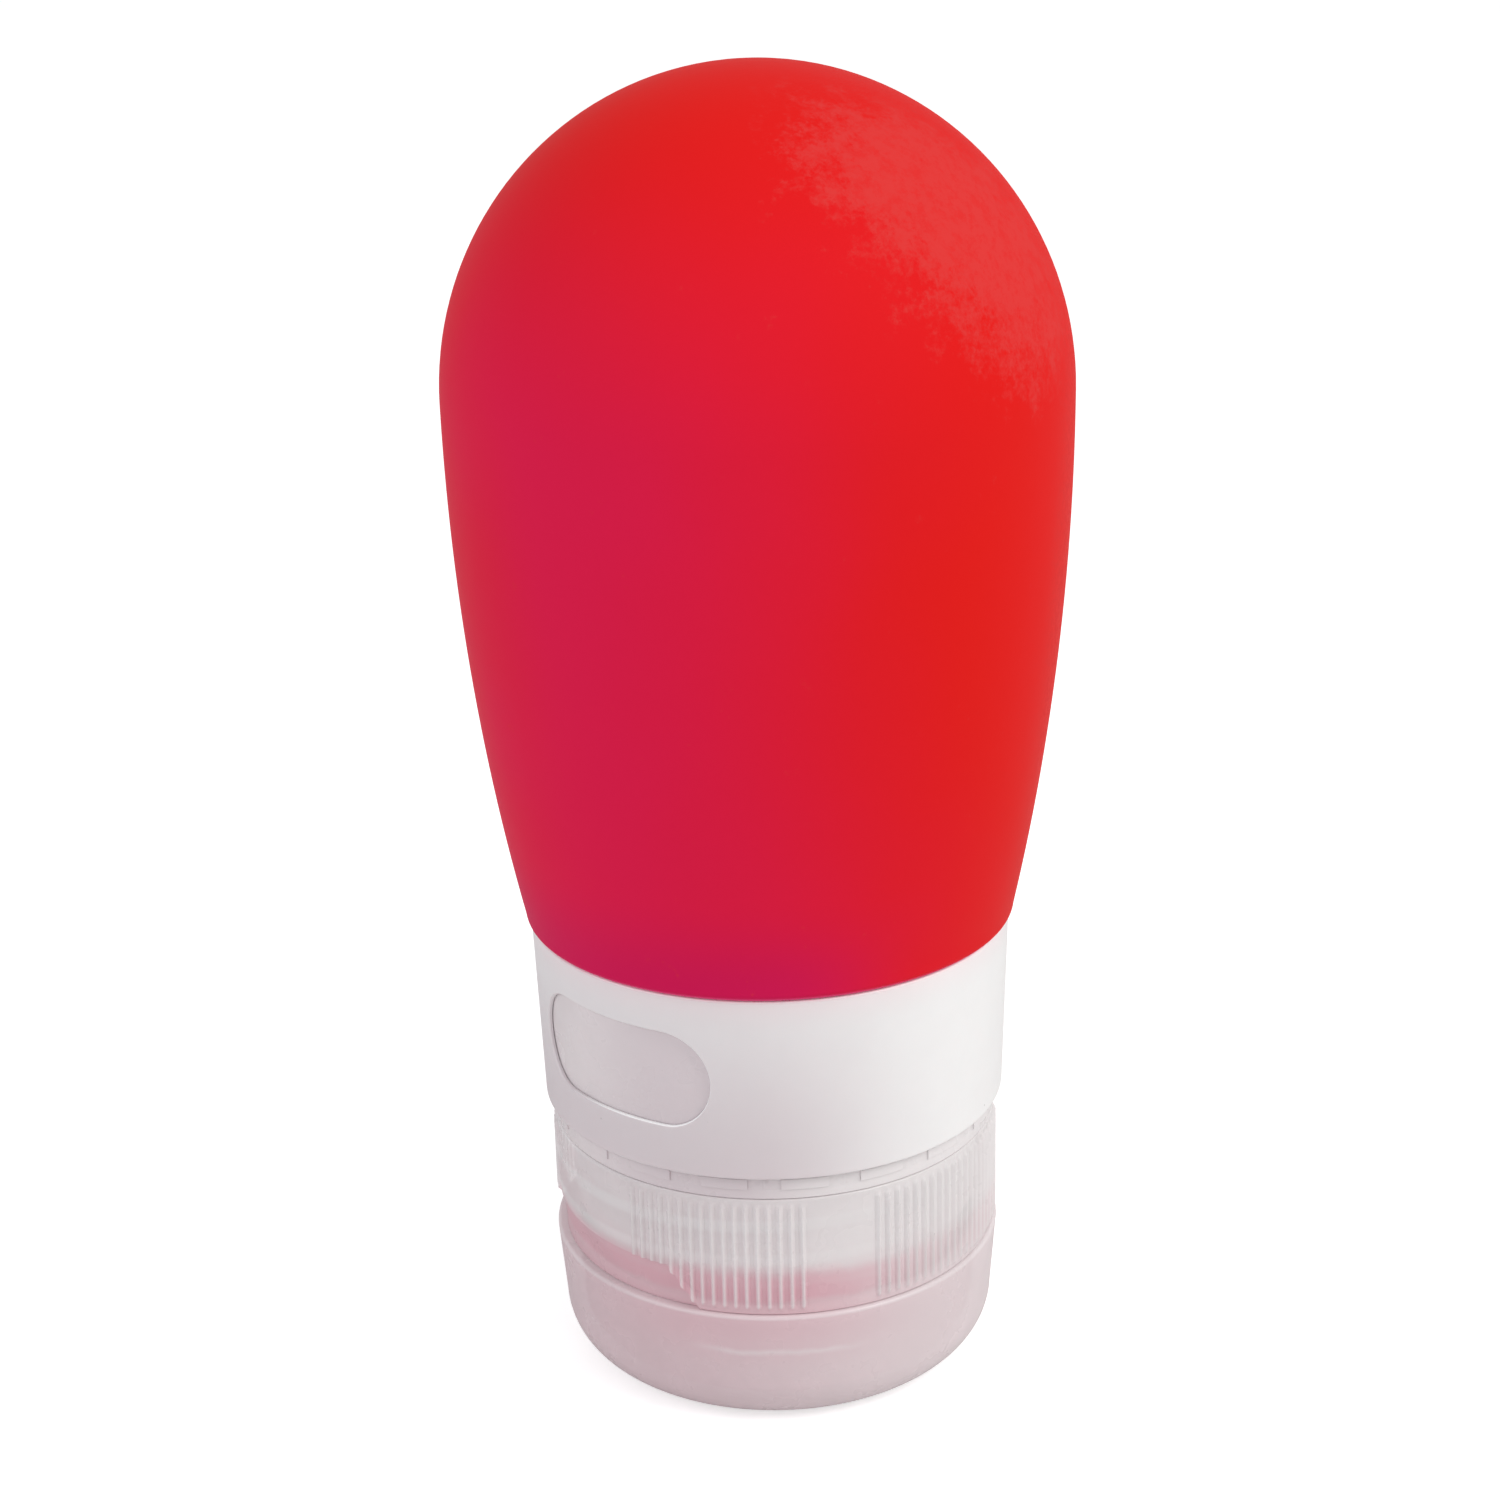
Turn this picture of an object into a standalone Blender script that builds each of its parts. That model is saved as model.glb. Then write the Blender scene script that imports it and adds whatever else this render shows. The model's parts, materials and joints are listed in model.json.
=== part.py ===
"""A silicone squeeze bottle that stands upside down on its flip lid.

Lengths are in metres and +Z is up. The origin is the middle of the lid's flat face, on which the
bottle stands. The thumb scoop of the cap faces -Y and the lid's hinge is at +Y. Azimuths are in
degrees round the bottle: 0 faces -Y and 90 faces +X.
"""
import math

import bmesh
import bpy
from mathutils import Matrix, Vector

MM = 0.001

# Gaps between pieces that seat on each other, and between pieces that turn or slide
SEAT_GAP = 0.3 * MM
RUNNING_GAP = 0.4 * MM

# Segments round a large piece, a small piece and one turn of a thread
LARGE_STEPS = 48
SMALL_STEPS = 32
THREAD_STEPS = 32

# Silicone body
BODY_RADIUS = 24.0 * MM
DOME_HEIGHT = 24.4 * MM
FLANK_HEIGHT = 41.9 * MM
SHOULDER_OVERHANG = 0.3 * MM
SHOULDER_ROUND = 1.3 * MM
BODY_WALL = 2.0 * MM
FLOOR_ROUND = 2.6 * MM
NECK_BORE = 11.6 * MM
NECK_WALL = 2.0 * MM
LIP_REACH = 1.55 * MM
LIP_THICKNESS = 2.0 * MM

# Stiff threaded sleeve round the silicone neck
SLEEVE_WALL = 1.4 * MM
STOP_BEAD_HEIGHT = 0.6 * MM

# Thread between the cap and the sleeve, whose ends fade over an angle down to a low start
THREAD_PITCH = 3.0 * MM
THREAD_DEPTH = 0.95 * MM
THREAD_BASE = 1.8 * MM
THREAD_CREST = 0.9 * MM
THREAD_CLEARANCE = 0.35 * MM
THREAD_RUN_OUT = 0.1 * MM
FEMALE_START_TURN = 0.25
THREAD_FADE = 25.0
THREAD_START_SHARE = 0.12

# White collar
COLLAR_HEIGHT = 15.1 * MM
COLLAR_OVERHANG = 0.7 * MM
COLLAR_FLARE = 0.5 * MM
COLLAR_WALL = 0.7 * MM
COLLAR_FLANGE = 1.2 * MM
COLLAR_EDGE = 0.3 * MM
WINDOW_LENGTH = 18.0 * MM
WINDOW_HEIGHT = 8.0 * MM
WINDOW_SILL = 3.9 * MM
WINDOW_AZIMUTH = 18.0

# Content ring
RING_BAND_HEIGHT = 0.6 * MM
RING_BAND_OVERHANG = 0.1 * MM
RING_WALL = 1.2 * MM
TAB_HEIGHT = 0.9 * MM
TAB_COUNT = 18
TAB_GAP_ANGLE = 8.3
TAB_STEP = 0.1 * MM
TAB_GAP_AZIMUTH = 57.0

# Screw cap
CAP_SKIRT_HEIGHT = 9.8 * MM
CAP_WALL = 1.4 * MM
CAP_EDGE = 0.3 * MM
DECK_THICKNESS = 1.1 * MM
PLATEAU_HEIGHT = 2.3 * MM
PLATEAU_WALL = 0.9 * MM
PLUG_WALL = 0.9 * MM
SNAP_BEAD_DEPTH = 0.45 * MM
SNAP_BEAD_HEIGHT = 0.6 * MM
CAP_BEVEL_HEIGHT = 0.5 * MM
RIB_HEIGHT = 0.25 * MM
RIB_PITCH_ANGLE = 2.8
FRONT_RIBS_START = 21.2
FRONT_RIB_COUNT = 17
SIDE_RIBS_START = 86.0
SIDE_RIB_COUNT = 22
SMOOTH_STEP_ANGLE = 7.5
SCOOP_DEPTH = 0.45 * MM
SCOOP_HEIGHT = 3.4 * MM
SCOOP_LOW_HALF_ANGLE = 40.0
SCOOP_TOP_HALF_ANGLE = 31.0

# Seal, valve and retainer
SEAL_THICKNESS = 0.8 * MM
DECK_HOLE_RADIUS = 6.0 * MM
VALVE_FLANGE_REACH = 2.4 * MM
VALVE_FLANGE_THICKNESS = 1.0 * MM
VALVE_SLEEVE_WALL = 0.9 * MM
VALVE_DROP = 1.5 * MM
VALVE_HEAD_THICKNESS = 0.8 * MM
VALVE_HEAD_SAG = 0.7 * MM
SLIT_MARGIN = 1.6 * MM
SLIT_WIDTH = 0.16 * MM
RETAINER_HEIGHT = 1.3 * MM
RETAINER_SETBACK = 0.2 * MM
RETAINER_EDGE = 0.3 * MM

# Flip lid
LID_HEIGHT = 10.6 * MM
LID_OVERHANG = 0.3 * MM
LID_DRAFT = 0.5 * MM
LID_FOOT_ROUND = 4.3 * MM
LID_RIM_ROUND = 0.3 * MM
LID_FLOOR = 1.5 * MM
LID_FLOOR_ROUND = 2.8 * MM
SEALING_RING_REACH = 3.9 * MM
SEALING_RING_WALL = 0.9 * MM

# Hinge film, with the lug under it on the lid and the flat land behind it on the cap
HINGE_REACH = 0.7 * MM
HINGE_BEAD_RADIUS = 0.4 * MM
HINGE_WIDTH = 7.0 * MM
HINGE_WEB_HEIGHT = 4.2 * MM
HINGE_WEB_THICKNESS = 0.45 * MM
HINGE_LUG_DROP = 3.1 * MM
HINGE_LUG_FIRST_ANGLE = -150.0
HINGE_LUG_LAST_ANGLE = -105.0
HINGE_LAND_MARGIN = 0.7 * MM

# Drawn size of the empties on the joints' axes
AXIS_MARK_SIZE = 5.0 * MM

# Levels, from the table upwards
CAP_LOW = LID_HEIGHT + SEAT_GAP
CAP_TOP = CAP_LOW + CAP_SKIRT_HEIGHT
DECK_LOW = CAP_LOW - PLATEAU_HEIGHT
DECK_TOP = DECK_LOW + DECK_THICKNESS
SEAL_LOW = DECK_TOP + SEAT_GAP
SEAL_TOP = SEAL_LOW + SEAL_THICKNESS
LIP_LOW = SEAL_TOP + SEAT_GAP
LIP_TOP = LIP_LOW + LIP_THICKNESS
SLEEVE_LOW = LIP_TOP + SEAT_GAP
THREAD_LOW = SLEEVE_LOW + 2.0 * SEAT_GAP + THREAD_BASE / 2.0
VALVE_FLANGE_LOW = DECK_TOP + SEAT_GAP
VALVE_FLANGE_TOP = VALVE_FLANGE_LOW + VALVE_FLANGE_THICKNESS
RETAINER_LOW = VALVE_FLANGE_TOP + SEAT_GAP
RETAINER_TOP = RETAINER_LOW + RETAINER_HEIGHT
SNAP_BEAD_LOW = RETAINER_TOP + SEAT_GAP
PLUG_TOP = SNAP_BEAD_LOW + SNAP_BEAD_HEIGHT
RING_LOW = CAP_TOP + SEAT_GAP
RING_BAND_TOP = RING_LOW + RING_BAND_HEIGHT
TAB_TOP = RING_BAND_TOP + TAB_HEIGHT
COLLAR_LOW = TAB_TOP + SEAT_GAP
COLLAR_TOP = COLLAR_LOW + COLLAR_HEIGHT
FLANGE_LOW = COLLAR_TOP - COLLAR_FLANGE
SLEEVE_TOP = FLANGE_LOW - SEAT_GAP
STOP_BEAD_TOP = RING_LOW - SEAT_GAP
STOP_BEAD_LOW = STOP_BEAD_TOP - STOP_BEAD_HEIGHT
SHOULDER = COLLAR_TOP + SEAT_GAP
WIDEST = SHOULDER + FLANK_HEIGHT
BODY_TOP = WIDEST + DOME_HEIGHT

# The female ridge runs half a pitch below the male one, and both end under the stop bead
FEMALE_THREAD_LOW = THREAD_LOW - THREAD_PITCH / 2.0
FEMALE_THREAD_START = FEMALE_THREAD_LOW + FEMALE_START_TURN * THREAD_PITCH
THREAD_END = STOP_BEAD_LOW - THREAD_BASE / 2.0
MALE_TURNS = (THREAD_END - THREAD_RUN_OUT - THREAD_LOW) / THREAD_PITCH
FEMALE_TURNS = (THREAD_END - SEAT_GAP - FEMALE_THREAD_START) / THREAD_PITCH

# Radii, from the axis outwards
NECK_RADIUS = NECK_BORE + NECK_WALL
LIP_RADIUS = NECK_RADIUS + LIP_REACH
SLEEVE_BORE = NECK_RADIUS + SEAT_GAP
SLEEVE_RADIUS = SLEEVE_BORE + SLEEVE_WALL
MALE_CREST_RADIUS = SLEEVE_RADIUS + THREAD_DEPTH
CAP_BORE = MALE_CREST_RADIUS + THREAD_CLEARANCE
CAP_RADIUS = CAP_BORE + CAP_WALL
FEMALE_CREST_RADIUS = CAP_BORE - THREAD_DEPTH
COLLAR_LOW_RADIUS = CAP_RADIUS + COLLAR_OVERHANG
COLLAR_TOP_RADIUS = COLLAR_LOW_RADIUS + COLLAR_FLARE
SHOULDER_RADIUS = COLLAR_TOP_RADIUS + SHOULDER_OVERHANG
RING_BAND_RADIUS = CAP_RADIUS + RING_BAND_OVERHANG
PLATEAU_BORE = LIP_RADIUS + SEAT_GAP
PLATEAU_RADIUS = PLATEAU_BORE + PLATEAU_WALL
PLUG_RADIUS = NECK_BORE - RUNNING_GAP
PLUG_BORE = PLUG_RADIUS - PLUG_WALL
RING_BORE = SLEEVE_RADIUS + RUNNING_GAP
VALVE_FLANGE_RADIUS = DECK_HOLE_RADIUS + VALVE_FLANGE_REACH
RETAINER_BORE = DECK_HOLE_RADIUS + RETAINER_SETBACK
SEALING_RING_RADIUS = DECK_HOLE_RADIUS + SEALING_RING_REACH
LID_BORE = PLATEAU_RADIUS + SEAT_GAP
LID_RIM_RADIUS = CAP_RADIUS + LID_OVERHANG
LID_FOOT_RADIUS = LID_RIM_RADIUS - LID_DRAFT
HINGE_RADIUS = LID_RIM_RADIUS + HINGE_REACH
HINGE_LEVEL = LID_HEIGHT + SEAT_GAP / 2.0


def direction(azimuth):
    """Unit vector in the plan that points to an azimuth in degrees."""
    turn = math.radians(azimuth)
    return Vector((math.sin(turn), -math.cos(turn), 0.0))


def place(azimuth, radius, level):
    """The point at an azimuth in degrees, a distance from the axis and a level."""
    return direction(azimuth) * radius + Vector((0.0, 0.0, level))


def arc(centre, radius, start, end, count, stretch=1.0):
    """Points (r, z) on an arc, from start to end in degrees; stretch scales it along z."""
    points = []
    for k in range(count + 1):
        turn = math.radians(start + (end - start) * k / count)
        points.append((centre[0] + radius * math.cos(turn), centre[1] + radius * stretch * math.sin(turn)))
    return points


def material(name, colour, roughness, alpha=1.0):
    """A Principled material in the piece's own colour."""
    made = bpy.data.materials.new(name)
    made.use_nodes = True
    shader = made.node_tree.nodes["Principled BSDF"]
    shader.inputs["Base Color"].default_value = (*colour, 1.0)
    shader.inputs["Roughness"].default_value = roughness
    shader.inputs["Metallic"].default_value = 0.0
    shader.inputs["Alpha"].default_value = alpha
    return made


def add_object(name, shape, look=None):
    """Turns a bmesh into an object, smooth but for its sharp edges."""
    bmesh.ops.recalc_face_normals(shape, faces=shape.faces)
    mesh = bpy.data.meshes.new(name)
    shape.to_mesh(mesh)
    shape.free()
    mesh.shade_smooth()
    mesh.set_sharp_from_angle(angle=math.radians(35.0))
    made = bpy.data.objects.new(name, mesh)
    bpy.context.scene.collection.objects.link(made)
    if look:
        mesh.materials.append(look)
    return made


def ring_of_faces(shape, here, after):
    """Joins two closed rows of vertices; faces that shrink to nothing at a pole are left out."""
    for k in range(len(here)):
        j = (k + 1) % len(here)
        corners = list(dict.fromkeys((here[k], here[j], after[j], after[k])))
        if len(corners) > 2:
            shape.faces.new(corners)


def turned(profile, steps):
    """A solid turned round Z from a closed outline of (r, z) points; a radius of 0 is a pole."""
    shape = bmesh.new()
    rows = []
    for radius, level in profile:
        if radius == 0.0:
            rows.append([shape.verts.new((0.0, 0.0, level))] * steps)
        else:
            rows.append([shape.verts.new(place(360.0 * k / steps, radius, level)) for k in range(steps)])
    for here, after in zip(rows, rows[1:] + rows[:1]):
        ring_of_faces(shape, here, after)
    return shape


def loft(sections, shape=None):
    """Skins equal closed sections of points and caps both ends, in a given bmesh or a new one."""
    shape = shape or bmesh.new()
    rows = [[shape.verts.new(point) for point in section] for section in sections]
    shape.faces.new(rows[0])
    shape.faces.new(rows[-1])
    for here, after in zip(rows, rows[1:]):
        ring_of_faces(shape, here, after)
    return shape


def cut_or_join(target, name, shape, operation):
    """Adds a Boolean to target with a hidden helper made from shape."""
    helper = add_object(name, shape)
    helper.hide_render = True
    helper.display_type = "WIRE"
    modifier = target.modifiers.new(name, "BOOLEAN")
    modifier.operation = operation
    modifier.object = helper
    modifier.solver = "EXACT"


def thread_ridge(root, crest, embed, low, start_turn, turns):
    """A right-hand thread ridge of trapezoid section, faded out at both ends.

    It stands on root and reaches crest, outwards or inwards, and embed sinks its foot in the wall.
    Its middle would be at low where the turn is 0.
    """
    foot = root - math.copysign(embed, crest - root)
    half_base = THREAD_BASE / 2.0
    count = round(turns * THREAD_STEPS)
    sections = []
    for k in range(count + 1):
        along = turns * k / count
        from_end = 360.0 * min(along, turns - along)
        share = min(1.0, THREAD_START_SHARE + (1.0 - THREAD_START_SHARE) * from_end / THREAD_FADE)
        top = root + (crest - root) * share
        half_top = half_base - (THREAD_BASE - THREAD_CREST) / 2.0 * share
        middle = low + THREAD_PITCH * (start_turn + along)
        outline = ((foot, -half_base), (root, -half_base), (top, -half_top),
                   (top, half_top), (root, half_base), (foot, half_base))
        azimuth = 360.0 * (start_turn + along)
        sections.append([place(azimuth, radius, middle + rise) for radius, rise in outline])
    return loft(sections)


def sector(inner, outer, low, top, low_half, top_half, azimuth, count, shape=None):
    """A curved block between two radii, whose half angle runs from low_half to top_half."""
    sections = []
    for k in range(count + 1):
        share = 2.0 * k / count - 1.0
        below = azimuth + share * low_half
        above = azimuth + share * top_half
        sections.append([place(below, inner, low), place(below, outer, low),
                         place(above, outer, top), place(above, inner, top)])
    return loft(sections, shape)


def flank_radius_at(level, offset=0.0):
    """Radius of the body's flank: one arc, upright at the widest level."""
    sag = BODY_RADIUS - SHOULDER_RADIUS
    flank_arc = (FLANK_HEIGHT ** 2 + sag ** 2) / (2.0 * sag)
    drop = WIDEST - level
    return BODY_RADIUS - flank_arc + math.sqrt(flank_arc ** 2 - drop ** 2) - offset


def flank(level_from, level_to, count, offset=0.0):
    """Points of the flank between two levels, without the first one."""
    points = []
    for k in range(1, count + 1):
        level = level_from + (level_to - level_from) * k / count
        points.append((flank_radius_at(level, offset), level))
    return points


def make_squeeze_body(look):
    """The bulb with its shoulder, its neck and the lip under the neck, open at the mouth."""
    corner_top = SHOULDER + SHOULDER_ROUND
    corner = (flank_radius_at(corner_top) - SHOULDER_ROUND, corner_top)
    outer = [(0.0, BODY_TOP)]
    outer += arc((0.0, WIDEST), BODY_RADIUS, 90.0, 0.0, 10, DOME_HEIGHT / BODY_RADIUS)[1:]
    outer += flank(WIDEST, corner_top, 6)
    outer += arc(corner, SHOULDER_ROUND, 0.0, -90.0, 3)[1:]
    outer += [(NECK_RADIUS, SHOULDER), (NECK_RADIUS, LIP_TOP), (LIP_RADIUS, LIP_TOP),
              (LIP_RADIUS, LIP_LOW), (NECK_BORE, LIP_LOW)]

    side_top = SHOULDER + BODY_WALL + FLOOR_ROUND
    side = flank_radius_at(side_top, BODY_WALL)
    inner_radius = BODY_RADIUS - BODY_WALL
    inner = arc((NECK_BORE + BODY_WALL, SHOULDER), BODY_WALL, 180.0, 90.0, 2)
    inner += arc((side - FLOOR_ROUND, side_top), FLOOR_ROUND, -90.0, 0.0, 2)
    inner += flank(side_top, WIDEST, 4, BODY_WALL)
    inner += arc((0.0, WIDEST), inner_radius, 0.0, 90.0, 7, (DOME_HEIGHT - BODY_WALL) / inner_radius)[1:-1]
    inner += [(0.0, BODY_TOP - BODY_WALL)]
    return add_object("squeeze_body", turned(outer + inner, LARGE_STEPS), look)


def make_neck_sleeve(look):
    """The stiff sleeve with the male thread and the bead that the content ring turns on."""
    bead_radius = CAP_BORE - SEAT_GAP
    profile = [(SLEEVE_RADIUS, SLEEVE_TOP), (SLEEVE_RADIUS, STOP_BEAD_TOP), (bead_radius, STOP_BEAD_TOP),
               (bead_radius, (STOP_BEAD_LOW + STOP_BEAD_TOP) / 2.0), (SLEEVE_RADIUS, STOP_BEAD_LOW),
               (SLEEVE_RADIUS, SLEEVE_LOW), (SLEEVE_BORE, SLEEVE_LOW), (SLEEVE_BORE, SLEEVE_TOP)]
    sleeve = add_object("neck_sleeve", turned(profile, LARGE_STEPS), look)
    ridge = thread_ridge(SLEEVE_RADIUS, MALE_CREST_RADIUS, SLEEVE_WALL / 2.0, THREAD_LOW, 0.0, MALE_TURNS)
    cut_or_join(sleeve, "male_thread", ridge, "UNION")
    return sleeve


def collar_radius_at(level):
    """Outer radius of the collar, which widens towards the body."""
    share = (level - COLLAR_LOW) / COLLAR_HEIGHT
    return COLLAR_LOW_RADIUS + (COLLAR_TOP_RADIUS - COLLAR_LOW_RADIUS) * share


def make_window_collar(look):
    """The white collar: a thin tapered shell with an inward flange on top and the window."""
    flange_bore = NECK_RADIUS + SEAT_GAP
    profile = [(flange_bore, FLANGE_LOW), (collar_radius_at(FLANGE_LOW) - COLLAR_WALL, FLANGE_LOW),
               (COLLAR_LOW_RADIUS - COLLAR_WALL, COLLAR_LOW), (COLLAR_LOW_RADIUS - COLLAR_EDGE, COLLAR_LOW),
               (COLLAR_LOW_RADIUS, COLLAR_LOW + COLLAR_EDGE), (COLLAR_TOP_RADIUS, COLLAR_TOP - COLLAR_EDGE),
               (COLLAR_TOP_RADIUS - COLLAR_EDGE, COLLAR_TOP), (flange_bore, COLLAR_TOP)]
    collar = add_object("window_collar", turned(profile, LARGE_STEPS), look)
    cut_or_join(collar, "window_cutter", window_prism(), "DIFFERENCE")
    return collar


def window_prism():
    """A round-ended slot as long as the window along the collar's curve, cut with parallel sides."""
    end_radius = WINDOW_HEIGHT / 2.0
    level = COLLAR_LOW + WINDOW_SILL + end_radius
    half_straight = WINDOW_LENGTH / 2.0 - end_radius
    end_steps = 8
    straight_steps = 6
    outline = []
    for side in (1.0, -1.0):
        for k in range(end_steps + 1):
            turn = math.radians(-90.0 + 180.0 * k / end_steps)
            outline.append((side * (half_straight + end_radius * math.cos(turn)),
                            side * end_radius * math.sin(turn)))
        for k in range(1, straight_steps):
            outline.append((side * half_straight * (1.0 - 2.0 * k / straight_steps), side * end_radius))
    middle_radius = collar_radius_at(level)
    end_depth = middle_radius * math.cos(WINDOW_LENGTH / 2.0 / middle_radius)
    outwards = direction(WINDOW_AZIMUTH)
    sideways = direction(WINDOW_AZIMUTH + 90.0)
    sections = []
    for depth in (end_depth - 3.0 * COLLAR_WALL, middle_radius + 2.0 * COLLAR_WALL):
        section = []
        for along, rise in outline:
            across = middle_radius * math.sin(along / middle_radius)
            section.append(outwards * depth + sideways * across + Vector((0.0, 0.0, level + rise)))
        sections.append(section)
    return loft(sections)


def make_content_ring(look):
    """The ring behind the window, with a band and tabs for the fingers below the collar."""
    shell_low = COLLAR_LOW_RADIUS - COLLAR_WALL - SEAT_GAP
    shell_top = collar_radius_at(SLEEVE_TOP) - COLLAR_WALL - SEAT_GAP
    relieved_bore = shell_low - RING_WALL
    relief_low = TAB_TOP + RING_WALL
    profile = [(RING_BORE, RING_LOW), (RING_BAND_RADIUS, RING_LOW), (RING_BAND_RADIUS, TAB_TOP),
               (shell_low, TAB_TOP), (shell_top, SLEEVE_TOP), (relieved_bore, SLEEVE_TOP),
               (relieved_bore, relief_low), (RING_BORE, relief_low - RING_WALL / 2.0)]
    ring = add_object("content_ring", turned(profile, LARGE_STEPS), look)
    gaps = bmesh.new()
    half_gap = TAB_GAP_ANGLE / 2.0
    for k in range(TAB_COUNT):
        azimuth = TAB_GAP_AZIMUTH + 360.0 * k / TAB_COUNT
        sector(shell_low + TAB_STEP, COLLAR_TOP_RADIUS, RING_BAND_TOP, COLLAR_LOW, half_gap, half_gap,
               azimuth, 1, gaps)
    cut_or_join(ring, "tab_gaps", gaps, "DIFFERENCE")
    return ring


def rib_plan():
    """Points round the skirt as (azimuth, share of the rib's height).

    The groups of ribs on one side are mirrored on the other, about the scoop and the hinge.
    """
    half_pitch = RIB_PITCH_ANGLE / 2.0
    groups = []
    for start, count in ((FRONT_RIBS_START, FRONT_RIB_COUNT), (SIDE_RIBS_START, SIDE_RIB_COUNT)):
        groups += [(start, count), (-start - (count - 1) * RIB_PITCH_ANGLE, count)]
    groups.sort()
    following = [start for start, count in groups[1:]] + [groups[0][0] + 360.0]
    plan = []
    for (start, count), after in zip(groups, following):
        plan += [(start + (k - 1) * half_pitch, k % 2) for k in range(2 * count + 1)]
        smooth_from = plan[-1][0]
        smooth_angle = after - half_pitch - smooth_from
        smooth_count = math.ceil(smooth_angle / SMOOTH_STEP_ANGLE)
        plan += [(smooth_from + smooth_angle * k / smooth_count, 0) for k in range(1, smooth_count)]
    return plan


def ribbed_skin():
    """The cap's outer skin: a ring whose outside rises to a ridge at each rib."""
    inner = CAP_BORE + CAP_EDGE
    shape = bmesh.new()
    plan = rib_plan()
    rows = []
    for level, radius, rise in ((CAP_LOW, inner, 0.0),
                                (CAP_LOW, CAP_RADIUS - CAP_EDGE, 0.0),
                                (CAP_LOW + CAP_BEVEL_HEIGHT, CAP_RADIUS, RIB_HEIGHT),
                                (CAP_TOP - CAP_BEVEL_HEIGHT, CAP_RADIUS, RIB_HEIGHT),
                                (CAP_TOP, CAP_RADIUS - CAP_EDGE, 0.0),
                                (CAP_TOP, inner, 0.0)):
        rows.append([shape.verts.new(place(azimuth, radius + rise * share, level))
                     for azimuth, share in plan])
    for here, after in zip(rows, rows[1:] + rows[:1]):
        ring_of_faces(shape, here, after)
    return shape


def make_screw_cap(look):
    """The cap: ribbed skirt, female thread, stepped deck with the valve's hole, and plug ring."""
    core_radius = CAP_RADIUS - CAP_WALL / 4.0
    core_low = CAP_LOW + CAP_EDGE / 2.0
    core_top = CAP_TOP - CAP_EDGE / 2.0
    bore_low = LIP_TOP + SEAT_GAP
    bead_radius = PLUG_BORE - SNAP_BEAD_DEPTH
    profile = [(CAP_BORE, core_top), (CAP_BORE, bore_low), (PLATEAU_BORE, LIP_TOP),
               (PLATEAU_BORE, DECK_TOP), (PLUG_RADIUS, DECK_TOP), (PLUG_RADIUS, PLUG_TOP),
               (PLUG_BORE, PLUG_TOP), (bead_radius, (SNAP_BEAD_LOW + PLUG_TOP) / 2.0),
               (PLUG_BORE, SNAP_BEAD_LOW),
               (PLUG_BORE, DECK_TOP), (DECK_HOLE_RADIUS, DECK_TOP), (DECK_HOLE_RADIUS, DECK_LOW),
               (PLATEAU_RADIUS - CAP_EDGE, DECK_LOW), (PLATEAU_RADIUS, DECK_LOW + CAP_EDGE),
               (PLATEAU_RADIUS, core_low), (core_radius, core_low), (core_radius, core_top)]
    cap = add_object("screw_cap", turned(profile, LARGE_STEPS), look)
    cut_or_join(cap, "ribbed_skin", ribbed_skin(), "UNION")
    ridge = thread_ridge(CAP_BORE, FEMALE_CREST_RADIUS, CAP_WALL / 4.0, FEMALE_THREAD_LOW,
                         FEMALE_START_TURN, FEMALE_TURNS)
    cut_or_join(cap, "female_thread", ridge, "UNION")
    scoop = sector(CAP_RADIUS - SCOOP_DEPTH, CAP_RADIUS + 2.0 * RIB_HEIGHT, CAP_LOW - SEAT_GAP,
                   CAP_LOW + SCOOP_HEIGHT, SCOOP_LOW_HALF_ANGLE, SCOOP_TOP_HALF_ANGLE, 0.0, 12)
    cut_or_join(cap, "thumb_scoop", scoop, "DIFFERENCE")
    cut_or_join(cap, "hinge_land", hinge_land(), "UNION")
    return cap


def make_lip_seal(look):
    """The flat ring between the silicone lip and the deck, round the plug."""
    inner = PLUG_RADIUS + RUNNING_GAP
    outer = PLATEAU_BORE - SEAT_GAP
    profile = [(inner, SEAL_LOW), (outer, SEAL_LOW), (outer, SEAL_TOP), (inner, SEAL_TOP)]
    return add_object("lip_seal", turned(profile, SMALL_STEPS), look)


def make_flow_valve(look):
    """The slit valve: a flange on the deck, a short sleeve through its hole and a dished head."""
    outer = DECK_HOLE_RADIUS - SEAT_GAP
    inner = outer - VALVE_SLEEVE_WALL
    head_edge = DECK_LOW - VALVE_DROP
    head_steps = 4
    under = []
    above = []
    for k in range(head_steps + 1):
        share = k / head_steps
        level = head_edge + VALVE_HEAD_SAG * (1.0 - share ** 2)
        under.append((outer * share, level))
        above.append((inner * share, level + VALVE_HEAD_THICKNESS))
    profile = under + [(outer, VALVE_FLANGE_LOW), (VALVE_FLANGE_RADIUS, VALVE_FLANGE_LOW),
                       (VALVE_FLANGE_RADIUS, VALVE_FLANGE_TOP), (inner, VALVE_FLANGE_TOP)] + above[::-1]
    valve = add_object("flow_valve", turned(profile, SMALL_STEPS), look)
    tall = 3.0 * (VALVE_HEAD_THICKNESS + VALVE_HEAD_SAG)
    long = 2.0 * (inner - SLIT_MARGIN)
    for name, size in (("slit_along_x", (long, SLIT_WIDTH, tall, 1.0)),
                       ("slit_along_y", (SLIT_WIDTH, long, tall, 1.0))):
        slit = bmesh.new()
        middle = Matrix.Translation((0.0, 0.0, head_edge + VALVE_HEAD_SAG))
        bmesh.ops.create_cube(slit, size=1.0, matrix=middle @ Matrix.Diagonal(size))
        cut_or_join(valve, name, slit, "DIFFERENCE")
    return valve


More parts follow.
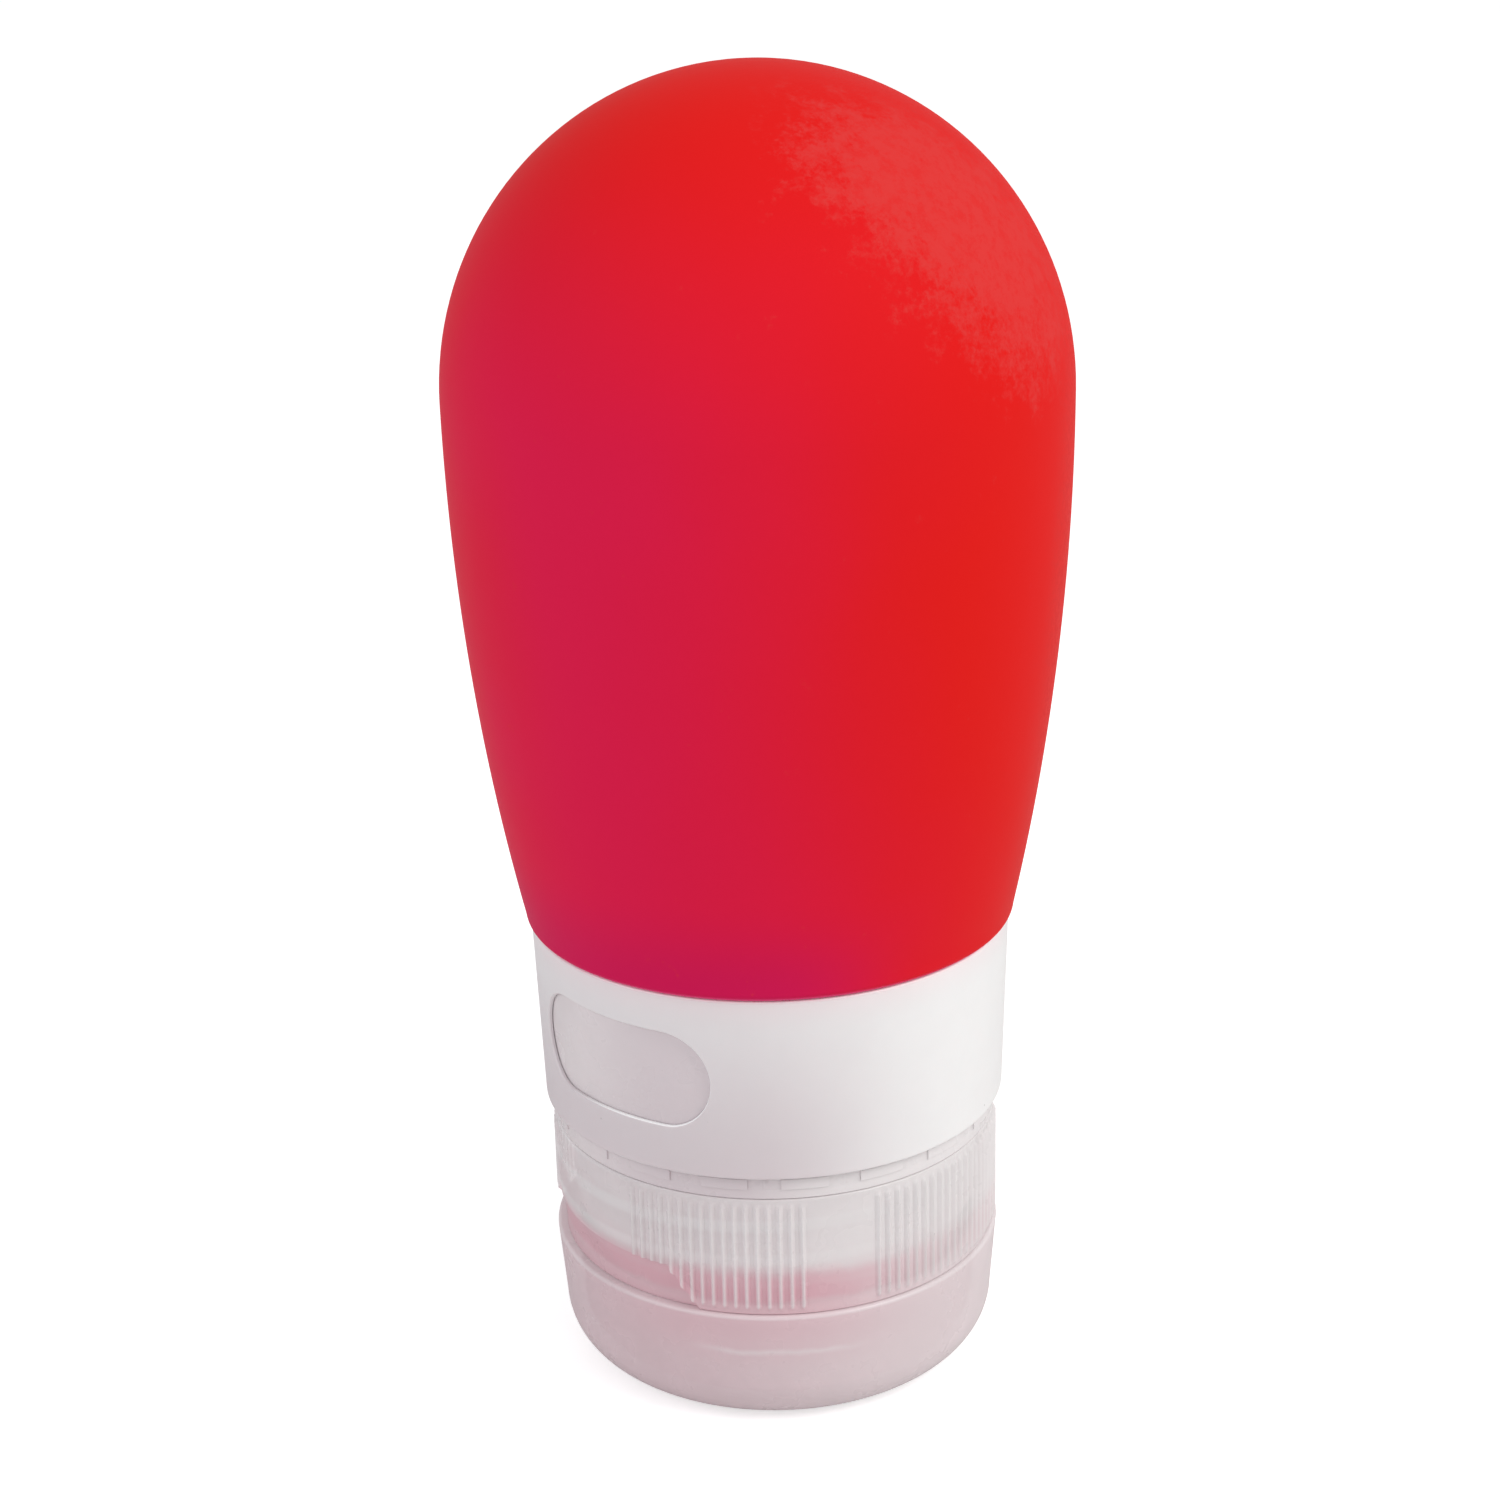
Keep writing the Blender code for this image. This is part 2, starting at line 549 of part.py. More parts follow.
def make_valve_retainer(look):
    """The ring that snaps in under the plug's bead and presses on the valve's flange."""
    outer = PLUG_BORE - SEAT_GAP
    profile = [(RETAINER_BORE, RETAINER_LOW), (outer, RETAINER_LOW), (outer, RETAINER_TOP - RETAINER_EDGE),
               (outer - RETAINER_EDGE, RETAINER_TOP), (RETAINER_BORE + RETAINER_EDGE, RETAINER_TOP),
               (RETAINER_BORE, RETAINER_TOP - RETAINER_EDGE)]
    return add_object("valve_retainer", turned(profile, SMALL_STEPS), look)


def make_flip_lid(look):
    """The lid: a cup with a rounded foot, a ring inside that seals round the valve, and a hinge lug."""
    ring_top = DECK_LOW - SEAT_GAP
    ring_bore = SEALING_RING_RADIUS - SEALING_RING_WALL
    cavity_radius = LID_FOOT_RADIUS - (LID_RIM_RADIUS - LID_BORE)
    floor_corner = (cavity_radius - LID_FLOOR_ROUND, LID_FLOOR + LID_FLOOR_ROUND)
    rim_corner = (LID_RIM_RADIUS - LID_RIM_ROUND, LID_HEIGHT - LID_RIM_ROUND)
    profile = [(0.0, 0.0)]
    profile += arc((LID_FOOT_RADIUS - LID_FOOT_ROUND, LID_FOOT_ROUND), LID_FOOT_ROUND, -90.0, 0.0, 5)
    profile += arc(rim_corner, LID_RIM_ROUND, 0.0, 90.0, 2)
    profile += [(LID_BORE, LID_HEIGHT)]
    profile += arc(floor_corner, LID_FLOOR_ROUND, 0.0, -90.0, 3)
    profile += [(SEALING_RING_RADIUS, LID_FLOOR), (SEALING_RING_RADIUS, ring_top),
                (ring_bore, ring_top), (ring_bore, LID_FLOOR), (0.0, LID_FLOOR)]
    lid = add_object("flip_lid", turned(profile, LARGE_STEPS), look)
    cut_or_join(lid, "hinge_lug", hinge_lug(), "UNION")
    return lid


def hinge_block(wall_radius, wall_top, outline, wall_low, width):
    """A block on a round wall at the back, with (y, z) points outside and its inside in the wall."""
    steps = 6
    sections = []
    for k in range(steps + 1):
        x = width * (k / steps - 0.5)
        wall = math.sqrt(wall_radius ** 2 - x ** 2)
        section = [(wall, wall_top)] + outline + [(wall, wall_low)]
        sections.append([(x, y, z) for y, z in section])
    return loft(sections)


def hinge_lug():
    """The thickening of the lid's wall under the hinge bead, hollowed round the bead."""
    hollow = HINGE_BEAD_RADIUS + SEAT_GAP
    outline = arc((HINGE_RADIUS, HINGE_LEVEL), hollow, HINGE_LUG_FIRST_ANGLE, HINGE_LUG_LAST_ANGLE, 3)
    face = outline[-1][0]
    foot = HINGE_LEVEL - HINGE_LUG_DROP
    outline += [(face, foot + HINGE_REACH), (face - HINGE_REACH, foot)]
    wall_radius = (LID_BORE + LID_FOOT_RADIUS) / 2.0
    return hinge_block(wall_radius, outline[0][1], outline, foot - HINGE_REACH, HINGE_WIDTH)


def hinge_land():
    """The flat land at the back of the cap's skirt that the film's web lies on."""
    face = HINGE_RADIUS - HINGE_WEB_THICKNESS / 2.0 - SEAT_GAP
    low = CAP_LOW + CAP_EDGE
    top = HINGE_LEVEL + HINGE_WEB_HEIGHT + HINGE_LAND_MARGIN
    outline = [(face - CAP_EDGE, low), (face, low + CAP_EDGE), (face, top - CAP_EDGE), (face - CAP_EDGE, top)]
    wall_radius = (CAP_BORE + CAP_RADIUS) / 2.0
    return hinge_block(wall_radius, low, outline, top, HINGE_WIDTH + 2.0 * HINGE_LAND_MARGIN)


def make_hinge_film(look):
    """The flexible strip: a bead on the hinge axis and a web that runs up the cap's land."""
    half_web = HINGE_WEB_THICKNESS / 2.0
    rise = HINGE_LEVEL + HINGE_WEB_HEIGHT
    open_angle = math.degrees(math.asin(half_web / HINGE_BEAD_RADIUS))
    outline = arc((HINGE_RADIUS, HINGE_LEVEL), HINGE_BEAD_RADIUS, 90.0 + open_angle, 450.0 - open_angle, 10)
    outline += [(HINGE_RADIUS + half_web, rise), (HINGE_RADIUS - half_web, rise)]
    sections = [[(x, y, z) for y, z in outline] for x in (-HINGE_WIDTH / 2.0, HINGE_WIDTH / 2.0)]
    return add_object("hinge_film", loft(sections), look)


def add_empty(name, location):
    """An empty on a joint's axis, which carries what moves with that joint."""
    made = bpy.data.objects.new(name, None)
    made.empty_display_size = AXIS_MARK_SIZE
    made.location = location
    bpy.context.scene.collection.objects.link(made)
    return made


def carry(parent, *pieces):
    """Parents pieces without moving them."""
    for piece in pieces:
        piece.parent = parent
        piece.matrix_parent_inverse = parent.matrix_world.inverted()


def main():
    for old in list(bpy.data.objects):
        bpy.data.objects.remove(old, do_unlink=True)
    red_silicone = material("red_silicone", (0.72, 0.015, 0.02), 0.5)
    white_plastic = material("white_plastic", (0.78, 0.76, 0.76), 0.4)
    frosted_plastic = material("frosted_plastic", (0.72, 0.64, 0.64), 0.35, 0.7)
    clear_silicone = material("clear_silicone", (0.8, 0.8, 0.8), 0.3, 0.6)

    ring_axis = add_empty("ring_axis", (0.0, 0.0, RING_LOW))
    cap_axis = add_empty("cap_axis", (0.0, 0.0, CAP_LOW))
    lid_axis = add_empty("lid_axis", (0.0, HINGE_RADIUS, HINGE_LEVEL))
    bpy.context.view_layer.update()

    make_squeeze_body(red_silicone)
    make_neck_sleeve(frosted_plastic)
    make_window_collar(white_plastic)
    carry(ring_axis, make_content_ring(frosted_plastic))
    carry(cap_axis, make_screw_cap(frosted_plastic), make_lip_seal(red_silicone),
          make_flow_valve(clear_silicone), make_valve_retainer(white_plastic),
          make_hinge_film(frosted_plastic), lid_axis)
    carry(lid_axis, make_flip_lid(frosted_plastic))


main()
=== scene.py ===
"""A silicone squeeze bottle that stands on its flip lid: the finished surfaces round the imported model.

Lengths are in metres and +Z is up. The origin is the middle of the lid's flat face, on which the
bottle stands. The thumb scoop of the cap faces -Y and the lid's hinge is at +Y. Azimuths are in
degrees round the bottle: 0 faces -Y and 90 faces +X.
"""
import json
import math
from functools import cached_property

import bmesh
import bpy
from bpy.props import FloatProperty, FloatVectorProperty, IntProperty, PointerProperty
from bpy.types import Operator, Panel, PropertyGroup
from mathutils import Matrix, Vector


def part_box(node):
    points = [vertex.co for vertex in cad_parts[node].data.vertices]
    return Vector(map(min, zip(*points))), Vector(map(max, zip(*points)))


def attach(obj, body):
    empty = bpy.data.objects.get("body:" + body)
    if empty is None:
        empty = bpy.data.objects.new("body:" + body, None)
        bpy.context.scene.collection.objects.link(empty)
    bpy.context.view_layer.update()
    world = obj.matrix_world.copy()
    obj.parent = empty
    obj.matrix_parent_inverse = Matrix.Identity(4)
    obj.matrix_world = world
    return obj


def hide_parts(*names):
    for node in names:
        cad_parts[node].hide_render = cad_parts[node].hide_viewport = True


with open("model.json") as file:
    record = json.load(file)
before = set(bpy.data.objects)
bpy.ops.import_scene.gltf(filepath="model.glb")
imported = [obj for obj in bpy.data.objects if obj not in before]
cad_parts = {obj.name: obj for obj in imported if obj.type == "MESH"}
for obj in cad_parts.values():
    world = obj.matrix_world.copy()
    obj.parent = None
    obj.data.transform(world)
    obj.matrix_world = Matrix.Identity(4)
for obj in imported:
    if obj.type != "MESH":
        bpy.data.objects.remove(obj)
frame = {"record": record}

bl_info = {
    "name": "Silicone squeeze bottle",
    "version": (1, 0, 0),
    "blender": (4, 5, 0),
    "location": "View3D > Sidebar > Bottle",
    "description": "Models a silicone squeeze bottle with a flip-lid screw cap, piece by piece",
    "category": "Add Mesh",
}

MM = 0.001
AXIS = Vector((0.0, 0.0, 0.0))

# Which body each piece of the imported model rides on
RECORD = frame["record"]
BODY_OF_NODE = {node: body for body, nodes in RECORD["behaviour"]["bodies"].items() for node in nodes}


def low_of(node):
    """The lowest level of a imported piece."""
    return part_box(node)[0].z


def top_of(node):
    """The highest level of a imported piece."""
    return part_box(node)[1].z


def reach_of(node):
    """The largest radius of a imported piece, along X."""
    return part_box(node)[1].x


# Azimuth of the side that the photograph shows, from which the finishes vary round the bottle
PHOTO_AZIMUTH = 60.0

# Gaps between inner pieces that seat on each other, between pieces that turn or slide, and between the
# outer pieces, where the seam shows
SEAT_GAP = 0.3 * MM
RUNNING_GAP = 0.4 * MM
SEAM = 0.05 * MM

# Sizes of the thread, of the bead under the content ring and of the hinge film, which several pieces need
THREAD_PITCH = 3.0 * MM
BEAD_HEIGHT = 0.6 * MM
HALF_FILM = 0.225 * MM

# Steps round the pieces, and columns of the cap's skirt from one rib to the next
BULB_STEPS = 192
COLLAR_STEPS = 288
RING_STEPS = 216
RIB_COLUMNS = 6
CAP_STEPS = 128 * RIB_COLUMNS
LID_STEPS = 256
SMALL_STEPS = 128
THREAD_STEPS = 64

# Levels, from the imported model
LID_HEIGHT = top_of("flip_lid")
DECK_LOW = low_of("screw_cap")
CAP_TOP = top_of("screw_cap")
CAP_LOW = LID_HEIGHT + SEAM
SEAL_LOW = low_of("lip_seal")
SEAL_TOP = top_of("lip_seal")
DECK_TOP = SEAL_LOW - SEAT_GAP
LIP_LOW = low_of("squeeze_body")
SLEEVE_LOW = low_of("neck_sleeve")
SLEEVE_TOP = top_of("neck_sleeve")
LIP_TOP = SLEEVE_LOW - SEAT_GAP
RETAINER_LOW = low_of("valve_retainer")
RETAINER_TOP = top_of("valve_retainer")
RING_LOW = low_of("content_ring")
COLLAR_LOW = low_of("window_collar")
COLLAR_TOP = top_of("window_collar")
SHOULDER = COLLAR_TOP + SEAM
BODY_TOP = top_of("squeeze_body")

# Radii of the widest places, and the hinge's place and width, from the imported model
BODY_RADIUS = reach_of("squeeze_body")
COLLAR_TOP_RADIUS = reach_of("window_collar")
LID_RIM_RADIUS = reach_of("flip_lid")
HINGE_RADIUS = (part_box("hinge_film")[0].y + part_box("hinge_film")[1].y) / 2.0
HINGE_LEVEL = LID_HEIGHT + SEAT_GAP / 2.0
HINGE_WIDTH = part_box("hinge_film")[1].x * 2.0

# Radii round the neck, from the bore outwards
NECK_BORE = 11.6 * MM
NECK_RADIUS = 13.6 * MM
LIP_RADIUS = 15.15 * MM
SLEEVE_BORE = NECK_RADIUS + SEAT_GAP
SLEEVE_RADIUS = 15.3 * MM
CAP_BORE = 16.6 * MM
CAP_RADIUS = 18.0 * MM
PLATEAU_BORE = LIP_RADIUS + SEAT_GAP
PLATEAU_RADIUS = PLATEAU_BORE + 0.9 * MM
LID_BORE = PLATEAU_RADIUS + SEAT_GAP
PLUG_RADIUS = NECK_BORE - RUNNING_GAP
PLUG_BORE = PLUG_RADIUS - 0.9 * MM
DECK_HOLE_RADIUS = 6.0 * MM
SEALING_RING_RADIUS = 9.9 * MM


def length_setting(name, description, default):
    """A length that the sidebar shows."""
    return FloatProperty(name=name, description=description, default=default, unit="LENGTH")


def colour_setting(name, description, default):
    """A colour that the sidebar shows."""
    return FloatVectorProperty(name=name, description=description, default=default, size=3, min=0.0, max=1.0,
                               subtype="COLOR")


def share_setting(name, description, default):
    """A share from 0 to 1 that the sidebar shows."""
    return FloatProperty(name=name, description=description, default=default, min=0.0, max=1.0,
                         subtype="FACTOR")


class BulbSettings(PropertyGroup):
    """Sizes and colours of the silicone bulb."""

    dome_height: length_setting("Dome height", "Height of the dome above the widest level", 24.4 * MM)
    wall: length_setting("Wall", "Thickness of the silicone", 2.0 * MM)
    shoulder_round: length_setting("Shoulder round", "Radius of the edge above the collar", 0.8 * MM)
    red: colour_setting("Red", "Colour of the silicone", (0.73, 0.012, 0.010))
    # The cooler red is a painted reflection of cool light down one side of the bulb.
    cool_reflection: colour_setting("Crimson", "Cooler red down one side", (0.735, 0.013, 0.070))
    # The paler red stands for dust and for painted highlight and sheen.
    dust_and_sheen: colour_setting("Dust", "Paler red where dust clings", (0.70, 0.042, 0.040))


class CollarSettings(PropertyGroup):
    """Sizes and colours of the white collar and of the ring behind its window."""

    wall: length_setting("Wall", "Thickness of the collar's shell", 0.3 * MM)
    flare: length_setting("Flare", "How much wider the collar is at its top", 0.5 * MM)
    window_length: length_setting("Window length", "Length of the window round the collar", 18.0 * MM)
    window_height: length_setting("Window height", "Height of the window", 8.0 * MM)
    window_sill: length_setting("Window sill", "Height of the window's foot above the rim", 3.9 * MM)
    window_azimuth: FloatProperty(name="Window azimuth", description="Where the window faces",
                                  default=math.radians(18.0), subtype="ANGLE")
    white: colour_setting("White", "Colour of the plastic", (0.92, 0.91, 0.91))
    # The tinged white is painted shade in pinkish grey over the collar's left side and lower part.
    pink_shade: colour_setting("Tinged white", "Colour where the thin shell shows pink", (0.695, 0.62, 0.645))


class CapSettings(PropertyGroup):
    """Sizes and colours of the frosted cap, lid, ring and neck."""

    rib_height: length_setting("Rib height", "How far the ribs stand out", 0.25 * MM)
    front_ribs: IntProperty(name="Front ribs", description="Ribs in each group beside the scoop", default=17)
    side_ribs: IntProperty(name="Side ribs", description="Ribs in each group towards the hinge", default=22)
    scoop_depth: length_setting("Scoop depth", "Depth of the thumb scoop", 0.45 * MM)
    scoop_height: length_setting("Scoop height", "Height of the thumb scoop", 3.4 * MM)
    foot_round: length_setting("Foot round", "Radius of the lid's rounded foot", 4.3 * MM)
    frost: colour_setting("Frost", "Colour of the frosted plastic", (0.90, 0.825, 0.84))
    # This pale colour is painted light on one side of the frosted pieces and painted highlights on the cap's
    # rib crests and the lid's rim; it also pales the thread bands and the line where the lid's ring shows.
    pale_and_lit: colour_setting("Milky", "Frosted plastic where the wall scatters most", (0.97, 0.94, 0.945))
    glow: colour_setting("Glow", "Colour where red silicone lies behind the frosting", (0.88, 0.53, 0.60))
    lid_colour: colour_setting("Lid colour", "Colour of the lid's plastic", (0.815, 0.628, 0.668))
    # The dial colour is painted shade, where the content ring lies in the window's recess.
    dial: colour_setting("Dial", "Colour of the content ring", (0.80, 0.71, 0.74))
    cap_opacity: share_setting("Cap opacity", "How much one face of the cap hides", 0.70)
    lid_opacity: share_setting("Lid opacity", "How much one face of the lid hides", 0.76)


class StudioSettings(PropertyGroup):
    """The camera, the lamps and the surroundings."""

    lens: FloatProperty(name="Lens", description="Focal length on a sensor 36 mm wide", default=69.1,
                        subtype="DISTANCE_CAMERA")
    azimuth: FloatProperty(name="Azimuth", description="Where the camera stands round the bottle",
                           default=math.radians(PHOTO_AZIMUTH), subtype="ANGLE")
    distance: length_setting("Distance", "From the bottle's axis to the camera, in plan", 214.7 * MM)
    height: length_setting("Height", "Level of the camera above the table", 127.5 * MM)
    key_power: FloatProperty(name="Key power", description="Power of the lamp on the right", default=1.8,
                             unit="POWER")
    fill_power: FloatProperty(name="Fill power", description="Power of the lamp on the left", default=0.88,
                              unit="POWER")
    surroundings: FloatProperty(name="Surroundings", description="Strength of the light from all round",
                                default=0.58, min=0.0)


def direction(azimuth):
    """Unit vector in the plan that points to an azimuth in degrees."""
    turn = math.radians(azimuth)
    return Vector((math.sin(turn), -math.cos(turn), 0.0))


def place(azimuth, radius, level):
    """The point at an azimuth in degrees, a distance from the axis and a level."""
    return direction(azimuth) * radius + Vector((0.0, 0.0, level))


def azimuth_of(point):
    """Azimuth of a point in degrees, from 0 up to 360."""
    return math.degrees(math.atan2(point.x, -point.y)) % 360.0


def radius_of(point):
    """Distance of a point from the bottle's axis."""
    return math.hypot(point.x, point.y)


def arc(centre, radius, start, end, count, stretch=1.0):
    """Points (r, z) on an arc, from start to end in degrees; stretch scales it along z."""
    points = []
    for k in range(count + 1):
        turn = math.radians(start + (end - start) * k / count)
        points.append((centre[0] + radius * math.cos(turn), centre[1] + radius * stretch * math.sin(turn)))
    return points


def straight(start, end, count):
    """Points between two points of an outline, with both ends."""
    return [(start[0] + (end[0] - start[0]) * k / count, start[1] + (end[1] - start[1]) * k / count)
            for k in range(count + 1)]


def rounded(corners, steps=4):
    """Points of a closed outline of (r, z, round) corners, with each edge rounded by its radius."""
    points = []
    for k, (radius, level, size) in enumerate(corners):
        here = Vector((radius, level))
        if size == 0.0:
            points.append((radius, level))
            continue
        before = Vector(corners[k - 1][:2]) - here
        after = Vector(corners[(k + 1) % len(corners)][:2]) - here
        half = before.angle(after) / 2.0
        reach = min(size / math.tan(half), 0.49 * before.length, 0.49 * after.length)
        size = reach * math.tan(half)
        middle = here + (before.normalized() + after.normalized()).normalized() * size / math.sin(half)
        start = here + before.normalized() * reach - middle
        end = here + after.normalized() * reach - middle
        for step in range(steps + 1):
            spoke = start.slerp(end, step / steps)
            points.append(tuple(middle + spoke * size))
    return points


def only(piece):
    """Makes one object the selected and active one."""
    bpy.ops.object.select_all(action="DESELECT")
    piece.select_set(True)
    bpy.context.view_layer.objects.active = piece


def pick(piece, test):
    """In edit mode, selects what lies wholly where a test of a vertex's place passes."""
    bpy.ops.mesh.select_all(action="DESELECT")
    shape = bmesh.from_edit_mesh(piece.data)
    for vertex in shape.verts:
        if test(vertex.co):
            vertex.select_set(True)
    shape.select_flush(True)
    bmesh.update_edit_mesh(piece.data)


def draw_line(name, points, closed):
    """A new piece, left in edit mode, that is a line drawn by extruding a vertex from point to point."""
    if bpy.context.mode != "OBJECT":
        bpy.ops.object.mode_set(mode="OBJECT")
    bpy.ops.object.select_all(action="DESELECT")
    bpy.ops.mesh.primitive_plane_add(size=MM, location=points[0])
    piece = bpy.context.active_object
    piece.name = name
    piece.data.name = name
    bpy.ops.object.transform_apply(location=True, rotation=False, scale=False)
    bpy.ops.object.mode_set(mode="EDIT")
    bpy.ops.mesh.select_all(action="SELECT")
    bpy.ops.mesh.merge(type="CENTER")
    for here, after in zip(points, points[1:]):
        bpy.ops.mesh.extrude_vertices_move(TRANSFORM_OT_translate={"value": after - here})
    if closed:
        near = 0.001 * MM
        pick(piece, lambda spot: min((spot - points[0]).length, (spot - points[-1]).length) < near)
        bpy.ops.mesh.edge_face_add()
    return piece


def clean_solid():
    """In edit mode, merges doubled vertices and turns all faces outwards."""
    bpy.ops.mesh.select_all(action="SELECT")
    bpy.ops.mesh.remove_doubles(threshold=0.001 * MM)
    bpy.ops.mesh.normals_make_consistent(inside=False)


def draw_face(name, points):
    """A new piece, left in edit mode, that is one face inside a closed line."""
    piece = draw_line(name, points, True)
    bpy.ops.mesh.select_all(action="SELECT")
    bpy.ops.mesh.edge_face_add()
    return piece


def spin(steps, angle):
    """In edit mode, makes a solid of what is drawn by spinning it round the axis, to larger azimuths."""
    bpy.ops.mesh.select_all(action="SELECT")
    bpy.ops.mesh.spin(steps=steps, angle=-angle, center=AXIS, axis=(0.0, 0.0, 1.0))
    clean_solid()


def turned(name, outline, steps, azimuth=0.0):
    """A solid spun a whole turn from an outline of (r, z) points that is closed or ends on the axis."""
    points = [place(azimuth, radius, level) for radius, level in outline]
    piece = draw_line(name, points, outline[0][0] > 0.0)
    spin(steps, math.tau)
    return piece


def sector(name, outline, azimuth, angle, steps):
    """A solid spun over part of a turn from a closed outline of (r, z) points."""
    piece = draw_face(name, [place(azimuth, radius, level) for radius, level in outline])
    spin(steps, math.radians(angle))
    return piece


def prism(name, outline, width, steps=1):
    """A bar across the back of the bottle, extruded along X from a closed outline of (y, z) points."""
    piece = draw_face(name, [Vector((-width / 2.0, y, z)) for y, z in outline])
    for _ in range(steps):
        bpy.ops.mesh.extrude_region_move(TRANSFORM_OT_translate={"value": (width / steps, 0.0, 0.0)})
    clean_solid()
    return piece


def turn_selected(angle):
    """In edit mode, turns what is selected round the axis, to larger azimuths, by an angle in degrees."""
    bpy.ops.transform.rotate(value=-math.radians(angle), orient_axis="Z", center_override=AXIS)


def combine(piece, tool, operation):
    """Cuts away or joins on another solid, which is used up, and leaves the piece in edit mode."""
    bpy.ops.object.mode_set(mode="OBJECT")
    only(piece)
    bpy.ops.object.modifier_add(type="BOOLEAN")
    modifier = piece.modifiers[-1]
    modifier.operation = operation
    modifier.solver = "MANIFOLD"
    modifier.object = tool
    bpy.ops.object.modifier_apply(modifier=modifier.name)
    only(tool)
    bpy.ops.object.delete()
    only(piece)
    bpy.ops.object.mode_set(mode="EDIT")


def finish(piece, node, look, smooth_angle=35.0):
    """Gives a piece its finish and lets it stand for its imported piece."""
    bpy.ops.mesh.select_all(action="SELECT")
    bpy.ops.mesh.remove_doubles(threshold=0.0002 * MM)
    bpy.ops.object.mode_set(mode="OBJECT")
    only(piece)
    piece.data.materials.clear()
    piece.data.materials.append(look)
    bpy.ops.object.shade_smooth_by_angle(angle=math.radians(smooth_angle))
    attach(piece, BODY_OF_NODE[node])
    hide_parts(node)


class Nodes:
    """A node tree that is filled node by node, with sockets and plain numbers, vectors or colours."""

    def __init__(self, tree):
        self.tree = tree

    def feed(self, node, entry, value):
        """Links a socket to an input, or sets the input to a plain value."""
        if isinstance(value, bpy.types.NodeSocket):
            self.tree.links.new(value, node.inputs[entry])
        else:
            node.inputs[entry].default_value = value

    def node(self, kind, inputs, output, **settings):
        """Adds a node and gives back one of its outputs."""
        node = self.tree.nodes.new(kind)
        for key, value in settings.items():
            setattr(node, key, value)
        for entry, value in inputs.items():
            self.feed(node, entry, value)
        return node.outputs[output]

    def ramp(self, value, from_low, from_high, to_low=0.0, to_high=1.0):
        """A smooth step between two values."""
        inputs = {"Value": value, "From Min": from_low, "From Max": from_high, "To Min": to_low,
                  "To Max": to_high}
        return self.node("ShaderNodeMapRange", inputs, 0, interpolation_type="SMOOTHSTEP")

    def math(self, operation, first, second=0.0):
        """One sum or function."""
        return self.node("ShaderNodeMath", {0: first, 1: second}, 0, operation=operation)

    def plus(self, first, second):
        return self.math("ADD", first, second)

    def minus(self, first, second):
        return self.math("SUBTRACT", first, second)

    def larger(self, first, second):
        return self.math("MAXIMUM", first, second)

    def times(self, first, *others):
        for other in others:
            first = self.math("MULTIPLY", first, other)
        return first


class Look(Nodes):
    """A material that varies with the shaded point's place in the piece's own coordinates."""

    def __init__(self, name):
        self.material = bpy.data.materials.new(name)
        self.material.use_nodes = True
        super().__init__(self.material.node_tree)
        self.shader = self.tree.nodes["Principled BSDF"]
        self.spot = self.node("ShaderNodeTexCoord", {}, "Object")

    def along(self, way):
        """Distance of the shaded point along a direction from the origin."""
        return self.node("ShaderNodeVectorMath", {0: self.spot, 1: way}, "Value", operation="DOT_PRODUCT")

    @cached_property
    def upwards(self):
        """Level of the shaded point."""
        return self.along((0.0, 0.0, 1.0))

    @cached_property
    def forwards(self):
        """Distance of the shaded point from the axis towards the side that the photograph shows."""
        return self.along(direction(PHOTO_AZIMUTH))

    @cached_property
    def sideways(self):
        """Distance of the shaded point from the axis to the right of that side."""
        return self.along(direction(PHOTO_AZIMUTH + 90.0))

    @cached_property
    def reach(self):
        """Distance of the shaded point from the axis."""
        inputs = {0: self.spot, 1: (1.0, 1.0, 0.0)}
        flat = self.node("ShaderNodeVectorMath", inputs, "Vector", operation="MULTIPLY")
        return self.node("ShaderNodeVectorMath", {0: flat}, "Value", operation="LENGTH")

    def noise(self, size, detail=3.0, roughness=0.5):
        """Cloudy noise whose clouds are about as wide as size."""
        inputs = {"Vector": self.spot, "Scale": 1.0 / size, "Detail": detail, "Roughness": roughness}
        return self.node("ShaderNodeTexNoise", inputs, 0)

    def oval(self, centre, turn, size):
        """1 in the middle of an oval patch and 0 at its edge."""
        inputs = {"Vector": self.spot, "Location": centre, "Rotation": turn, "Scale": size}
        inside = self.node("ShaderNodeMapping", inputs, 0, vector_type="TEXTURE")
        return self.node("ShaderNodeTexGradient", {"Vector": inside}, 1, gradient_type="SPHERICAL")

    def mix(self, share, first, second):
        """A colour between two colours."""
        inputs = {0: share, 6: opaque(first), 7: opaque(second)}
        return self.node("ShaderNodeMix", inputs, 2, data_type="RGBA")

    def bump(self, height, depth, normal=None):
        """A fine relief of the given depth, on another relief where one is given."""
        inputs = {"Height": height, "Distance": depth, "Strength": 1.0}
        if normal:
            inputs["Normal"] = normal
        return self.node("ShaderNodeBump", inputs, 0)

    def set(self, **values):
        """Sets or links the shader's own sockets, named with underscores for spaces."""
        for entry, value in values.items():
            self.feed(self.shader, entry.replace("_", " "), value)


def opaque(colour):
    """A plain colour with full alpha; a socket stays as it is."""
    return colour if isinstance(colour, bpy.types.NodeSocket) else (*colour, 1.0)


